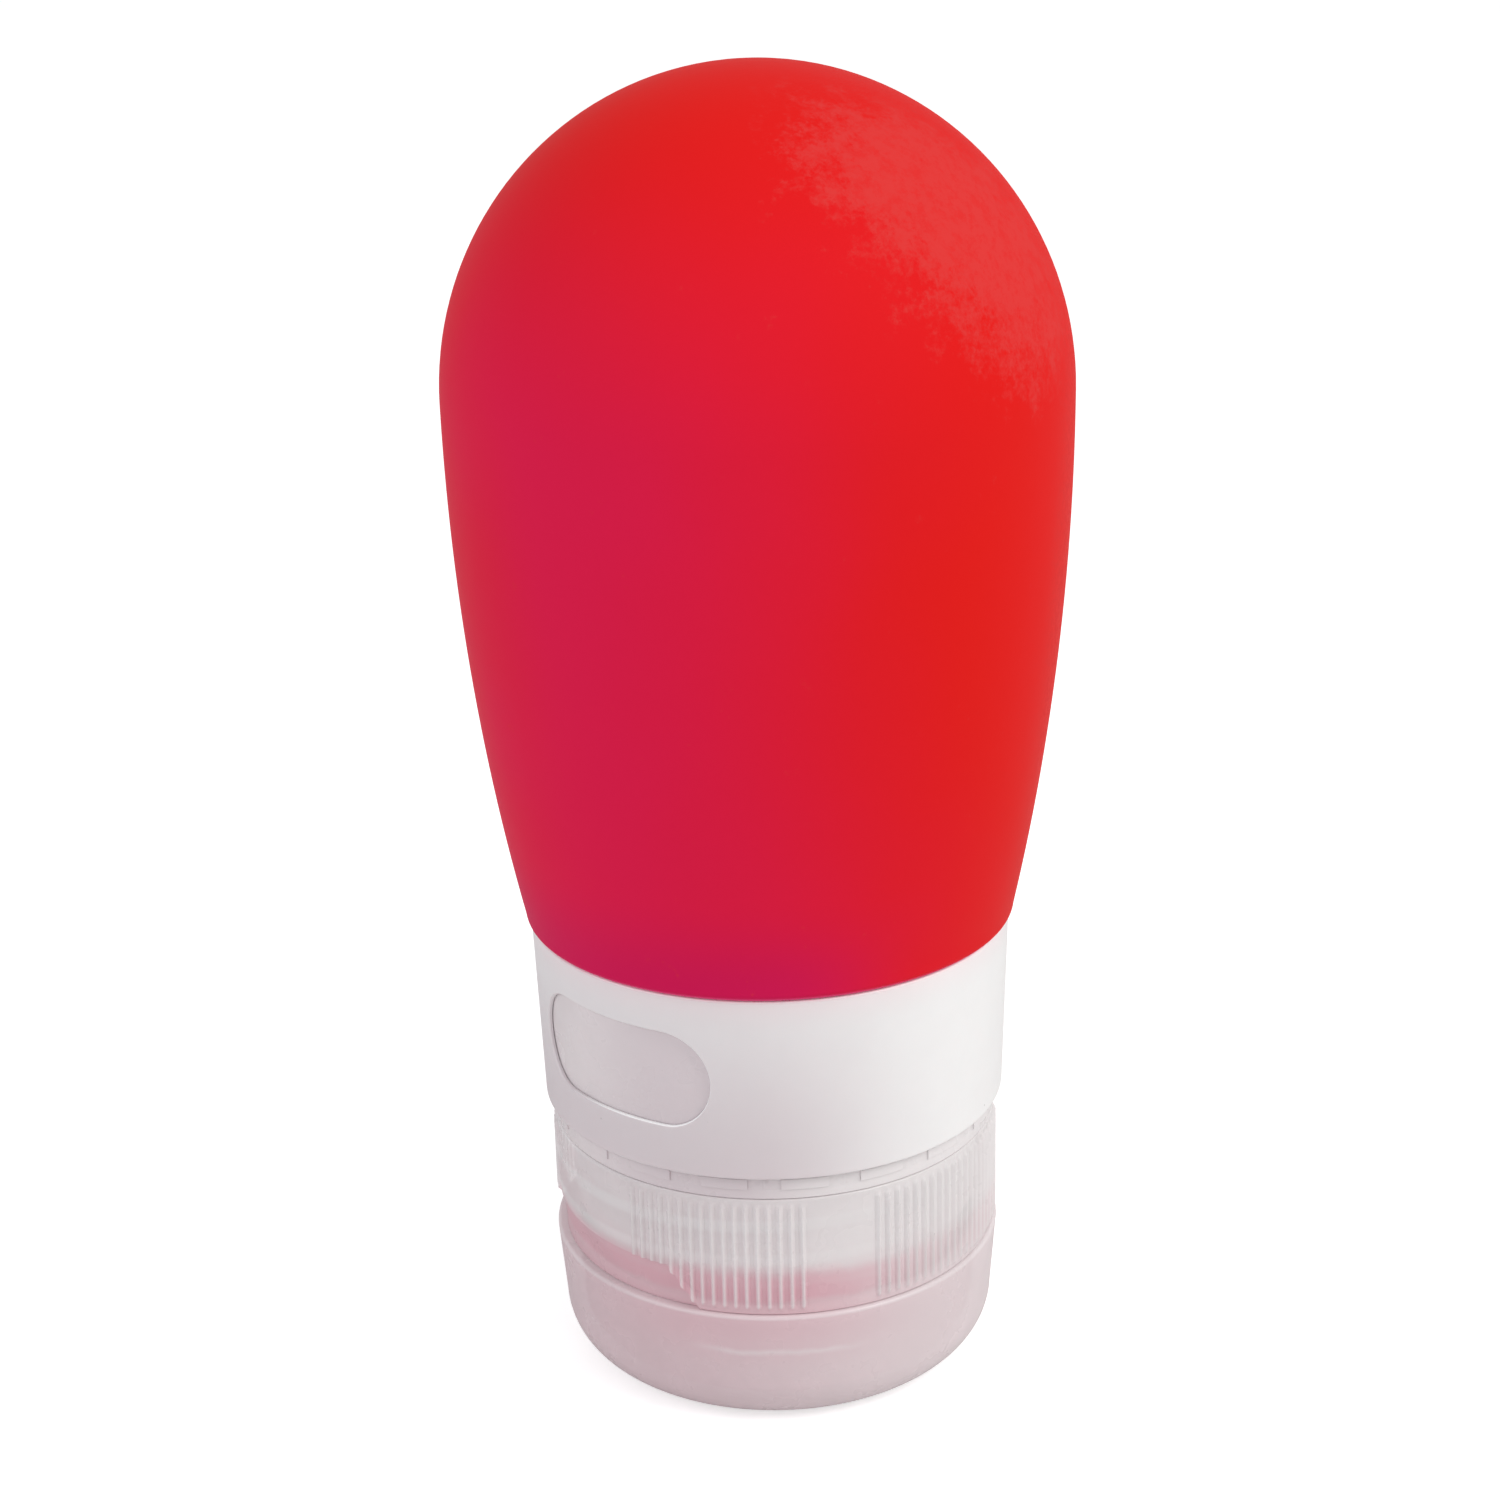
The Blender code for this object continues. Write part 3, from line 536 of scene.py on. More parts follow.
def dust_and_sheen_cover(look, widest):
    """How thickly pale dust and painted light lie on the silicone: in a patch near the top, dust broken by a
    painted highlight, and in a band down the far edge, painted sheen with speckles.
    """
    # The patch near the top is dust broken by a painted highlight.
    patch = look.oval(place(112.0, 19.5 * MM, 94.5 * MM), (0.0, math.radians(44.0), math.radians(66.0)),
                      (22.0 * MM, 14.0 * MM, 12.5 * MM))
    mottled = look.noise(3.0 * MM, 6.0, 0.75)
    specks = look.noise(0.5 * MM, 3.0, 0.65)
    patchy = look.plus(look.times(mottled, 0.8), look.times(specks, 0.4))
    coverage = look.plus(patch, look.times(look.minus(patchy, 0.6), 1.7))
    broken = look.ramp(look.noise(1.1 * MM, 5.0, 0.8), 0.36, 0.56, 0.6, 1.0)
    patch_dust_and_highlight = look.times(look.ramp(coverage, 0.19, 0.60), broken)

    # The band down the far edge is painted sheen, broken into speckles.
    streak = look.oval(place(136.0, 23.0 * MM, 68.0 * MM), (0.0, 0.0, math.radians(46.0)),
                       (4.0 * MM, 5.5 * MM, 27.0 * MM))
    above = look.larger(look.minus(look.upwards, widest), 0.0)
    turned_away = look.plus(look.forwards, look.times(above, 0.22))
    band = look.times(look.ramp(turned_away, 11.5 * MM, 1.0 * MM),
                      look.ramp(turned_away, -18.0 * MM, -2.0 * MM),
                      look.ramp(look.sideways, -4.0 * MM, 10.0 * MM))
    edge_sheen_and_dust = look.times(look.larger(look.ramp(streak, 0.0, 0.5), band), look.ramp(specks, 0.44, 0.60))
    return look.larger(patch_dust_and_highlight, look.times(edge_sheen_and_dust, 0.85))


def silicone_look(settings):
    """Matt red silicone, cooler red down one side as a painted cool reflection, darker purple at its foot as
    painted shade, with a painted pink highlight along its lower edge and pale dust that clings to it, mixed
    with painted highlight and sheen.
    """
    # Painted shade at the bulb's foot, in a darker purple.
    shaded_purple = (0.60, 0.010, 0.095)
    # A painted highlight along the bulb's lower edge, in pink.
    highlight_pink = (0.90, 0.12, 0.32)
    look = Look("silicone_finish")
    clouds = look.noise(26.0 * MM, 2.0)
    # Painted reflection of cool light: a cooler red down one side, facing the front and below the dome.
    swayed = look.plus(look.sideways, look.ramp(clouds, 0.3, 0.7, -3.0 * MM, 3.0 * MM))
    slanted = look.plus(swayed, look.times(look.minus(look.upwards, 60.0 * MM), 0.10))
    right_side = look.ramp(slanted, 19.0 * MM, -14.0 * MM)
    left_side = look.ramp(swayed, -26.0 * MM, -16.0 * MM, 0.55, 1.0)
    facing = look.ramp(look.forwards, -8.0 * MM, 6.0 * MM)
    below = look.ramp(look.upwards, 104.0 * MM, 78.0 * MM)
    cool_reflection = look.times(right_side, left_side, facing, below)
    # Painted shade at the bulb's foot next to the collar, towards the left side.
    foot = look.times(look.ramp(look.upwards, SHOULDER + 9.0 * MM, SHOULDER, 0.0, 0.75),
                      look.ramp(look.sideways, 12.0 * MM, 0.0))
    # A painted pink highlight along the shoulder's lower edge.
    edge_highlight = look.ramp(look.upwards, SHOULDER + 0.45 * MM, SHOULDER + 0.15 * MM, 0.0, 0.6)
    red = look.mix(cool_reflection, settings.red, settings.cool_reflection)
    red = look.mix(edge_highlight, look.mix(foot, red, shaded_purple), highlight_pink)
    # Paler red for dust and for painted highlight and sheen.
    dust_and_sheen = dust_and_sheen_cover(look, BODY_TOP - settings.dome_height)
    grain = look.noise(0.25 * MM, 2.0)
    look.set(Base_Color=look.mix(dust_and_sheen, red, settings.dust_and_sheen),
             Roughness=look.ramp(look.plus(dust_and_sheen, look.times(clouds, 0.3)), 0.0, 1.3, 0.50, 0.75),
             Specular_IOR_Level=0.04, Specular_Tint=(1.0, 0.25, 0.35, 1.0),
             Normal=look.bump(grain, 0.006 * MM, look.bump(look.noise(2.4 * MM, 2.0), 0.012 * MM)))
    return look.material


def white_look(settings):
    """Smooth white plastic with a faint moulded grain, with painted shade in pinkish grey towards its left
    side and lower edge, a painted reflection of the red bulb along its top and a painted highlight on the
    window's edge.
    """
    cloud_grey = (0.5, 0.45, 0.47)
    speck_grey = (0.35, 0.33, 0.33)
    reflected_red = (0.86, 0.50, 0.56)
    look = Look("white_finish")
    clouds = look.noise(5.0 * MM, 4.0, 0.6)
    # Painted shade in pinkish grey, over the left side and stronger towards the lower edge.
    pink_shade = look.times(look.ramp(look.sideways, 15.0 * MM, -2.0 * MM),
                        look.ramp(look.upwards, COLLAR_TOP + 3.0 * MM, COLLAR_LOW, 0.35, 1.0))
    white = look.mix(pink_shade, settings.white, settings.pink_shade)
    white = look.mix(look.ramp(clouds, 0.35, 0.7, 0.0, 0.04), white, cloud_grey)
    under_bulb = look.ramp(look.upwards, COLLAR_TOP - 3.0 * MM, COLLAR_TOP + 0.5 * MM, 0.0, 0.16)
    white = look.mix(under_bulb, white, reflected_red)
    taper = settings.flare / (COLLAR_TOP - COLLAR_LOW)
    skin = look.plus(look.times(look.minus(look.upwards, COLLAR_TOP), taper), COLLAR_TOP_RADIUS)
    # A painted highlight on the window's chamfered edge, left out at the window's far left end.
    cut = look.times(look.ramp(look.minus(skin, look.reach), 0.02 * MM, 0.06 * MM, 0.0, 0.9),
                     look.ramp(look.sideways, -16.5 * MM, -12.0 * MM))
    white = look.mix(cut, white, (1.0, 1.0, 1.0))
    specks = look.ramp(look.noise(0.9 * MM, 1.0), 0.80, 0.83, 0.0, 0.5)
    look.set(Base_Color=look.mix(specks, white, speck_grey),
             Roughness=look.ramp(clouds, 0.3, 0.7, 0.30, 0.40), Subsurface_Weight=0.15,
             Subsurface_Radius=(1.0, 0.8, 0.8), Subsurface_Scale=0.8 * MM,
             Normal=look.bump(look.noise(0.35 * MM, 3.0), 0.003 * MM, look.bump(clouds, 0.01 * MM)))
    return look.material


def frosting(name, settings, opacity, plain, lit_side_paleness=0.85):
    """A look of frosted plastic, cloudy, finely grained and paler to one side with painted light, with its
    colour and clouds.
    """
    look = Look(name)
    clouds = look.noise(4.0 * MM, 3.0, 0.6)
    frost = look.mix(look.ramp(clouds, 0.3, 0.7), plain, [0.96 * part for part in plain])
    # Painted light: paler towards the lit side.
    pale_and_lit = look.ramp(look.sideways, -11.0 * MM, 13.0 * MM, 0.0, lit_side_paleness)
    frost = look.mix(pale_and_lit, frost, settings.pale_and_lit)
    look.set(Base_Color=frost, Roughness=look.ramp(clouds, 0.3, 0.7, 0.24, 0.36), Alpha=opacity,
             Normal=look.bump(look.noise(0.3 * MM, 2.0), 0.004 * MM))
    return look, frost, clouds


def frosted_look(name, settings, opacity):
    """Plain frosted plastic, clear enough to hint at what lies behind it."""
    return frosting(name, settings, opacity, settings.frost)[0].material


def dial_look(settings):
    """The content ring's frosted plastic, with painted shade in a greyer colour where it lies in the window's
    recess, fading out at the window's left end.
    """
    look, frost, _ = frosting("dial_finish", settings, 0.85, settings.frost)
    # Painted shade in the window's recess.
    recess_shade = look.times(look.ramp(look.sideways, -16.5 * MM, -8.5 * MM),
                        look.ramp(look.sideways, 4.0 * MM, -4.0 * MM))
    look.set(Base_Color=look.mix(recess_shade, frost, settings.dial))
    return look.material


def cap_look(settings):
    """The cap's frosted plastic, with the pink glow of the lip and the pale bands of the thread behind it,
    painted highlights on the rib crests and painted light to one side.
    """
    look, frost, clouds = frosting("cap_finish", settings, settings.cap_opacity, settings.frost)
    level = look.upwards
    wavy = look.plus(level, look.ramp(clouds, 0.3, 0.7, -0.2 * MM, 0.2 * MM))
    turn = look.node("ShaderNodeTexGradient", {"Vector": look.spot}, 1, gradient_type="RADIAL")
    pitches = look.math("DIVIDE", look.minus(level, SLEEVE_LOW), THREAD_PITCH)
    wave = look.math("SINE", look.times(look.minus(pitches, turn), math.tau))
    threaded = look.times(look.ramp(level, LIP_TOP + 1.0 * MM, LIP_TOP + 2.2 * MM),
                          look.ramp(wave, 0.1, 1.0, 0.0, 0.7))
    lip_top = look.ramp(wavy, LIP_TOP + 1.9 * MM, LIP_TOP + 0.4 * MM)
    seal_shade = look.ramp(wavy, LIP_LOW + 1.0 * MM, LIP_LOW + 0.4 * MM, 1.0, 0.72)
    fading = look.ramp(look.sideways, 15.0 * MM, 1.0 * MM, 0.26, 1.0)
    upper_band = look.ramp(wavy, LIP_TOP - 0.3 * MM, LIP_TOP + 0.3 * MM, 1.0, 0.85)
    glow = look.times(lip_top, seal_shade, fading, upper_band)
    pinker = look.mix(glow, look.mix(threaded, frost, settings.pale_and_lit), settings.glow)
    # Painted highlights on the rib crests, weaker towards the cap's top.
    crest = look.times(look.ramp(look.reach, CAP_RADIUS + 0.08 * MM, CAP_RADIUS + 0.24 * MM, 0.0, 0.75),
                       look.ramp(level, CAP_TOP, CAP_TOP - 3.0 * MM, 0.15, 1.0))
    look.set(Base_Color=look.mix(crest, pinker, settings.pale_and_lit))
    return look.material


def lid_look(settings):
    """The lid's frosted plastic, pinker under the seal, paler where its ring shows, with a painted highlight
    along its rim and painted light to one side.
    """
    look, frost, clouds = frosting("lid_finish", settings, settings.lid_opacity, settings.lid_colour, 0.42)
    wavy = look.plus(look.upwards, look.ramp(clouds, 0.3, 0.7, -0.15 * MM, 0.15 * MM))
    near_seal = look.times(look.ramp(wavy, SEAL_LOW - 5.0 * MM, SEAL_LOW - 0.4 * MM, 0.0, 0.40),
                           look.ramp(look.sideways, 14.0 * MM, 0.0),
                           look.ramp(look.sideways, -17.0 * MM, -6.0 * MM, 0.1, 1.0))
    # A painted highlight along the top of the lid's rim.
    rim = look.ramp(look.upwards, LID_HEIGHT - 0.4 * MM, LID_HEIGHT - 0.15 * MM, 0.0, 0.4)
    off_line = look.math("DIVIDE", look.minus(wavy, DECK_LOW - 1.3 * MM), 0.4 * MM)
    ring_line = look.larger(look.minus(1.0, look.math("ABSOLUTE", off_line)), 0.0)
    pale_line = look.times(ring_line, look.ramp(look.sideways, -8.0 * MM, -3.0 * MM),
                           look.ramp(look.sideways, 8.0 * MM, 3.0 * MM), 0.45)
    pinker = look.mix(near_seal, frost, settings.glow)
    look.set(Base_Color=look.mix(look.larger(pale_line, rim), pinker, settings.pale_and_lit))
    return look.material


def flank_radius_at(level, widest, offset=0.0):
    """Radius of the bulb's flank: one arc, upright at the widest level."""
    shoulder_radius = COLLAR_TOP_RADIUS + 0.3 * MM
    sag = BODY_RADIUS - shoulder_radius
    drop = widest - COLLAR_TOP - SEAT_GAP
    flank_arc = (drop ** 2 + sag ** 2) / (2.0 * sag)
    return BODY_RADIUS - flank_arc + math.sqrt(flank_arc ** 2 - (widest - level) ** 2) - offset


def flank(level_from, level_to, count, widest, offset=0.0):
    """Points of the flank between two levels, without the first one."""
    levels = [level_from + (level_to - level_from) * k / count for k in range(1, count + 1)]
    return [(flank_radius_at(level, widest, offset), level) for level in levels]


def make_bulb(settings, look):
    """The silicone bulb with its rounded shoulder, its neck and the lip under the neck."""
    widest = BODY_TOP - settings.dome_height
    corner_top = SHOULDER + settings.shoulder_round
    corner = (flank_radius_at(corner_top, widest) - settings.shoulder_round, corner_top)
    outline = arc((0.0, widest), BODY_RADIUS, 90.0, 0.0, 40, settings.dome_height / BODY_RADIUS)
    outline[0] = (0.0, BODY_TOP)
    outline += flank(widest, corner_top, 26, widest)
    outline += arc(corner, settings.shoulder_round, 0.0, -90.0, 10)[1:]
    outline += rounded([(NECK_RADIUS, SHOULDER, 0.3 * MM), (NECK_RADIUS, LIP_TOP, 0.15 * MM),
                        (LIP_RADIUS, LIP_TOP, 0.2 * MM), (LIP_RADIUS, LIP_LOW, 0.4 * MM),
                        (NECK_BORE, LIP_LOW, 0.3 * MM), (NECK_BORE, SHOULDER - 1.0 * MM, 0.0)], 3)
    floor_round = 2.6 * MM
    side_top = SHOULDER + settings.wall + floor_round
    side = flank_radius_at(side_top, widest, settings.wall)
    inner_radius = BODY_RADIUS - settings.wall
    outline += arc((NECK_BORE + settings.wall, SHOULDER), settings.wall, 180.0, 90.0, 6)
    outline += arc((side - floor_round, side_top), floor_round, -90.0, 0.0, 6)
    outline += flank(side_top, widest, 12, widest, settings.wall)
    outline += arc((0.0, widest), inner_radius, 0.0, 90.0, 20,
                   (settings.dome_height - settings.wall) / inner_radius)[1:-1]
    outline.append((0.0, BODY_TOP - settings.wall))
    bulb = turned("silicone_bulb", outline, BULB_STEPS)
    finish(bulb, "squeeze_body", look, 50.0)


def wind_thread(name, root, crest, embed, low, start_turn, turns):
    """A right-hand thread ridge, wound round the bottle's axis section by section.

    It stands on root and reaches crest, outwards or inwards. Its foot is sunk in the wall by embed, and
    over a few sections at both ends the ridge shrinks into the wall.
    """
    base = 1.8 * MM
    crest_width = 0.9 * MM
    fade_sections = 6
    first_share = 0.15
    foot = root - math.copysign(embed, crest - root)
    middle = low + THREAD_PITCH * start_turn
    count = round(turns * THREAD_STEPS)
    bevel = math.copysign(0.15 * MM, crest - root)
    upper = [(crest, crest_width / 2.0 - 0.12 * MM), (crest - bevel, crest_width / 2.0 + 0.08 * MM),
             (root, base / 2.0), (foot, base / 2.0)]
    outline = [(radius, -rise) for radius, rise in reversed(upper)] + upper
    azimuth = 360.0 * start_turn
    points = [place(azimuth, foot + (radius - foot) * first_share, middle + rise * first_share)
              for radius, rise in outline]
    ridge = draw_face(name, points)
    turn = 360.0 / THREAD_STEPS
    rise = THREAD_PITCH / THREAD_STEPS
    share = first_share
    for step in range(1, count + 1):
        bpy.ops.mesh.extrude_region_move(TRANSFORM_OT_translate={"value": (0.0, 0.0, rise)})
        turn_selected(turn)
        from_end = min(step, count - step) / fade_sections
        wanted = first_share + (1.0 - first_share) * min(1.0, from_end)
        if wanted != share:
            hub = place(azimuth + turn * step, foot, middle + rise * step)
            growth = wanted / share
            bpy.ops.transform.resize(value=(growth, growth, growth), center_override=hub)
            share = wanted
    clean_solid()
    return ridge


def make_neck(look):
    """The stiff sleeve round the silicone neck, with the male thread and the bead under the ring."""
    bead_radius = CAP_BORE - SEAT_GAP
    bead_top = RING_LOW - SEAT_GAP
    bead_low = bead_top - BEAD_HEIGHT
    bead_middle = (bead_low + bead_top) / 2.0
    outline = rounded([(SLEEVE_RADIUS, SLEEVE_TOP, 0.2 * MM), (SLEEVE_RADIUS, bead_top, 0.1 * MM),
                       (bead_radius, bead_top, 0.08 * MM), (bead_radius, bead_middle, 0.1 * MM),
                       (SLEEVE_RADIUS, bead_low, 0.1 * MM), (SLEEVE_RADIUS, SLEEVE_LOW, 0.3 * MM),
                       (SLEEVE_BORE, SLEEVE_LOW, 0.2 * MM), (SLEEVE_BORE, SLEEVE_TOP, 0.2 * MM)])
    neck = turned("threaded_neck", outline, LID_STEPS)
    thread_low = SLEEVE_LOW + 1.5 * MM
    turns = (bead_low - 1.0 * MM - thread_low) / THREAD_PITCH
    ridge = wind_thread("male_ridge", SLEEVE_RADIUS, CAP_BORE - 0.35 * MM, 0.7 * MM, thread_low, 0.0, turns)
    combine(neck, ridge, "UNION")
    finish(neck, "neck_sleeve", look)


def collar_radius_at(level, settings):
    """Outer radius of the collar, which widens towards the bulb."""
    return COLLAR_TOP_RADIUS - settings.flare * (COLLAR_TOP - level) / (COLLAR_TOP - COLLAR_LOW)


def window_block(settings):
    """The window's shape as a solid that passes through the shell and flares at the outer face."""
    end_radius = settings.window_height / 2.0
    half_straight = settings.window_length / 2.0 - end_radius
    level = COLLAR_LOW + settings.window_sill + end_radius
    chamfer = 0.10 * MM
    azimuth = math.degrees(settings.window_azimuth)
    outline = [(half_straight + x, z) for x, z in arc((0.0, 0.0), end_radius, -90.0, 90.0, 24)]
    outline += straight((half_straight, end_radius), (-half_straight, end_radius), 24)[1:]
    outline += [(-half_straight - x, z) for x, z in arc((0.0, 0.0), end_radius, 90.0, -90.0, 24)][1:]
    outline += straight((-half_straight, -end_radius), (half_straight, -end_radius), 24)[1:-1]
    middle_radius = collar_radius_at(level, settings)
    depth = 1.8 * MM
    inner_share = 1.0 - depth / middle_radius
    points = []
    for along, rise in outline:
        turn = math.degrees(along / middle_radius)
        radius = collar_radius_at(level + rise, settings) * inner_share
        points.append(place(azimuth + turn, radius, level + rise))
    block = draw_face("window_block", points)
    chamfer_share = 1.0 - chamfer / middle_radius
    over = 0.05 * MM
    outer_share = 1.0 + over / middle_radius
    growth = chamfer + over
    grow_along = 1.0 + growth / (settings.window_length / 2.0)
    grow_up = 1.0 + growth / end_radius
    far_share = 1.18
    steps = ((chamfer_share / inner_share, 1.0, 1.0), (outer_share / chamfer_share, grow_along, grow_up),
             (far_share / outer_share, 1.0, 1.0))
    for outwards, wider, taller in steps:
        bpy.ops.mesh.extrude_region_move(TRANSFORM_OT_translate={"value": (0.0, 0.0, 0.0)})
        bpy.ops.transform.resize(value=(outwards, outwards, 1.0), center_override=AXIS)
        middle = place(azimuth, middle_radius, level)
        bpy.ops.transform.resize(value=(wider, wider, taller), center_override=middle)
    clean_solid()
    return block


def make_collar(settings, look):
    """The white collar: a thin tapered shell with a flange on top and a round-ended window."""
    flange_bore = NECK_RADIUS + SEAT_GAP
    flange_low = COLLAR_TOP - 1.2 * MM
    outer_low = (collar_radius_at(COLLAR_LOW, settings), COLLAR_LOW)
    outer_top = (COLLAR_TOP_RADIUS, COLLAR_TOP)
    inner_top = (collar_radius_at(flange_low, settings) - settings.wall, flange_low)
    inner_low = (outer_low[0] - settings.wall, COLLAR_LOW)
    rows = 34
    inside = [(*point, 0.0) for point in straight(inner_top, inner_low, rows)[1:-1]]
    outside = [(*point, 0.0) for point in straight(outer_low, outer_top, rows)[1:-1]]
    outline = rounded([(*inner_top, 0.3 * MM)] + inside + [(*inner_low, 0.12 * MM), (*outer_low, 0.25 * MM)]
                      + outside + [(*outer_top, 0.25 * MM), (flange_bore, COLLAR_TOP, 0.1 * MM),
                                   (flange_bore, flange_low, 0.1 * MM)])
    collar = turned("collar_shell", outline, COLLAR_STEPS)
    combine(collar, window_block(settings), "DIFFERENCE")
    finish(collar, "window_collar", look)


def make_ring(settings, look):
    """The content ring: a shell behind the window and a band with finger tabs below the collar."""
    band_top = RING_LOW + 0.6 * MM
    tab_top = band_top + 0.9 * MM
    band_radius = CAP_RADIUS - 0.04 * MM
    tab_radius = CAP_RADIUS + 0.1 * MM
    inset = settings.wall + SEAM
    shell_low = collar_radius_at(COLLAR_LOW, settings) - inset
    shell_top = collar_radius_at(SLEEVE_TOP, settings) - inset
    bore = SLEEVE_RADIUS + RUNNING_GAP
    relieved = shell_low - 1.2 * MM
    relief_low = tab_top + 1.2 * MM
    band_low = CAP_TOP + SEAM
    outline = rounded([(bore, band_low, 0.1 * MM), (band_radius, band_low, 0.12 * MM),
                       (band_radius, band_top, 0.03 * MM), (tab_radius, band_top, 0.05 * MM),
                       (tab_radius, tab_top, 0.05 * MM), (band_radius, tab_top, 0.03 * MM),
                       (band_radius, COLLAR_LOW + 0.3 * MM, 0.08 * MM),
                       (shell_low, COLLAR_LOW + 0.6 * MM, 0.08 * MM),
                       (shell_top, SLEEVE_TOP, 0.2 * MM), (relieved, SLEEVE_TOP, 0.2 * MM),
                       (relieved, relief_low, 0.3 * MM), (bore, relief_low - 0.6 * MM, 0.2 * MM)])
    tab_count = 18
    gap_angle = 8.3
    gap_middle = 57.0
    first = gap_middle - gap_angle / 2.0
    ring = turned("content_dial", outline, RING_STEPS, first + 180.0 / RING_STEPS)
    floor = band_radius + 0.01 * MM
    gap_low = band_top - 0.1 * MM
    gap_top = tab_top + 0.1 * MM
    gaps = sector("tab_gaps", [(floor, gap_low), (COLLAR_TOP_RADIUS, gap_low), (COLLAR_TOP_RADIUS, gap_top),
                               (floor, gap_top)], first, gap_angle, 2)
    bpy.ops.mesh.select_all(action="SELECT")
    for _ in range(tab_count - 1):
        bpy.ops.mesh.duplicate()
        turn_selected(360.0 / tab_count)
    combine(ring, gaps, "DIFFERENCE")
    finish(ring, "content_ring", look)


def lift_ribs(cap, columns, margin_low, margin_top, height):
    """In edit mode, moves outwards what lies in columns of the skirt, between margins from its two ends."""
    near = 0.05 * MM

    def chosen(spot):
        margin = min(spot.z - CAP_LOW, CAP_TOP - spot.z)
        on_skirt = radius_of(spot) >= CAP_RADIUS - 0.02 * MM
        column = round(azimuth_of(spot) * CAP_STEPS / 360.0) % CAP_STEPS
        return on_skirt and margin_low + near < margin < margin_top + near and column in columns

    pick(cap, chosen)
    growth = 1.0 + height / CAP_RADIUS
    bpy.ops.transform.resize(value=(growth, growth, 1.0), center_override=AXIS)


def raise_ribs(cap, settings):
    """In edit mode, raises groups of upright ribs, each with a crest and a lower column on both sides."""
    first_beside_scoop = 45
    first_towards_hinge = 183
    flank_share = 0.6
    end_share = 0.6
    ends = 0.35 * MM
    full = 0.75 * MM
    groups = [(first_beside_scoop, settings.front_ribs), (first_towards_hinge, settings.side_ribs)]
    groups += [(CAP_STEPS - first - RIB_COLUMNS * (count - 1), count) for first, count in groups]
    crests = {first + RIB_COLUMNS * rib for first, count in groups for rib in range(count)}
    flanks = {(crest + side) % CAP_STEPS for crest in crests for side in (-1, 1)}
    for columns, share in ((crests, 1.0), (flanks, flank_share)):
        height = settings.rib_height * share
        lift_ribs(cap, columns, ends, full, height * end_share)
        lift_ribs(cap, columns, full, CAP_TOP - CAP_LOW, height)


def scoop_block(settings):
    """The thumb scoop as a solid: narrower at its top, with slanted sides and rounded upper corners."""
    low_half = 40.0
    top_half = 31.0
    spare = 8.0
    floor = CAP_RADIUS - settings.scoop_depth
    low = CAP_LOW - 0.25 * MM
    top = CAP_LOW + settings.scoop_height
    outer = CAP_RADIUS + 1.0 * MM
    outline = [(floor, low), (outer, low), (outer, top + 0.4 * MM), (CAP_RADIUS, top),
               (floor, top - 0.35 * MM)]
    block = sector("scoop_block", outline, -low_half - spare, 2.0 * (low_half + spare), 48)
    for side in (1.0, -1.0):
        foot = place(side * low_half, CAP_RADIUS, CAP_LOW)
        head = place(side * top_half, CAP_RADIUS, top)
        outwards = direction(side * (low_half + top_half) / 2.0)
        normal = (head - foot).cross(outwards).normalized() * side
        if normal.dot(direction(side * 90.0)) < 0.0:
            normal.negate()
        bpy.ops.mesh.select_all(action="SELECT")
        bpy.ops.mesh.bisect(plane_co=foot, plane_no=normal, use_fill=True, clear_outer=True)
    clean_solid()
    return block


def land_block():
    """The flat land at the back of the skirt that the hinge film lies on."""
    root = CAP_BORE + 0.15 * MM
    face = HINGE_RADIUS - HALF_FILM - SEAT_GAP
    low = CAP_LOW + 0.3 * MM
    top = top_of("hinge_film") + 0.7 * MM
    outline = rounded([(root, low, 0.0), (face, low, 0.3 * MM), (face, top, 0.3 * MM), (root, top, 0.0)])
    return prism("land_block", outline, HINGE_WIDTH + 1.4 * MM)


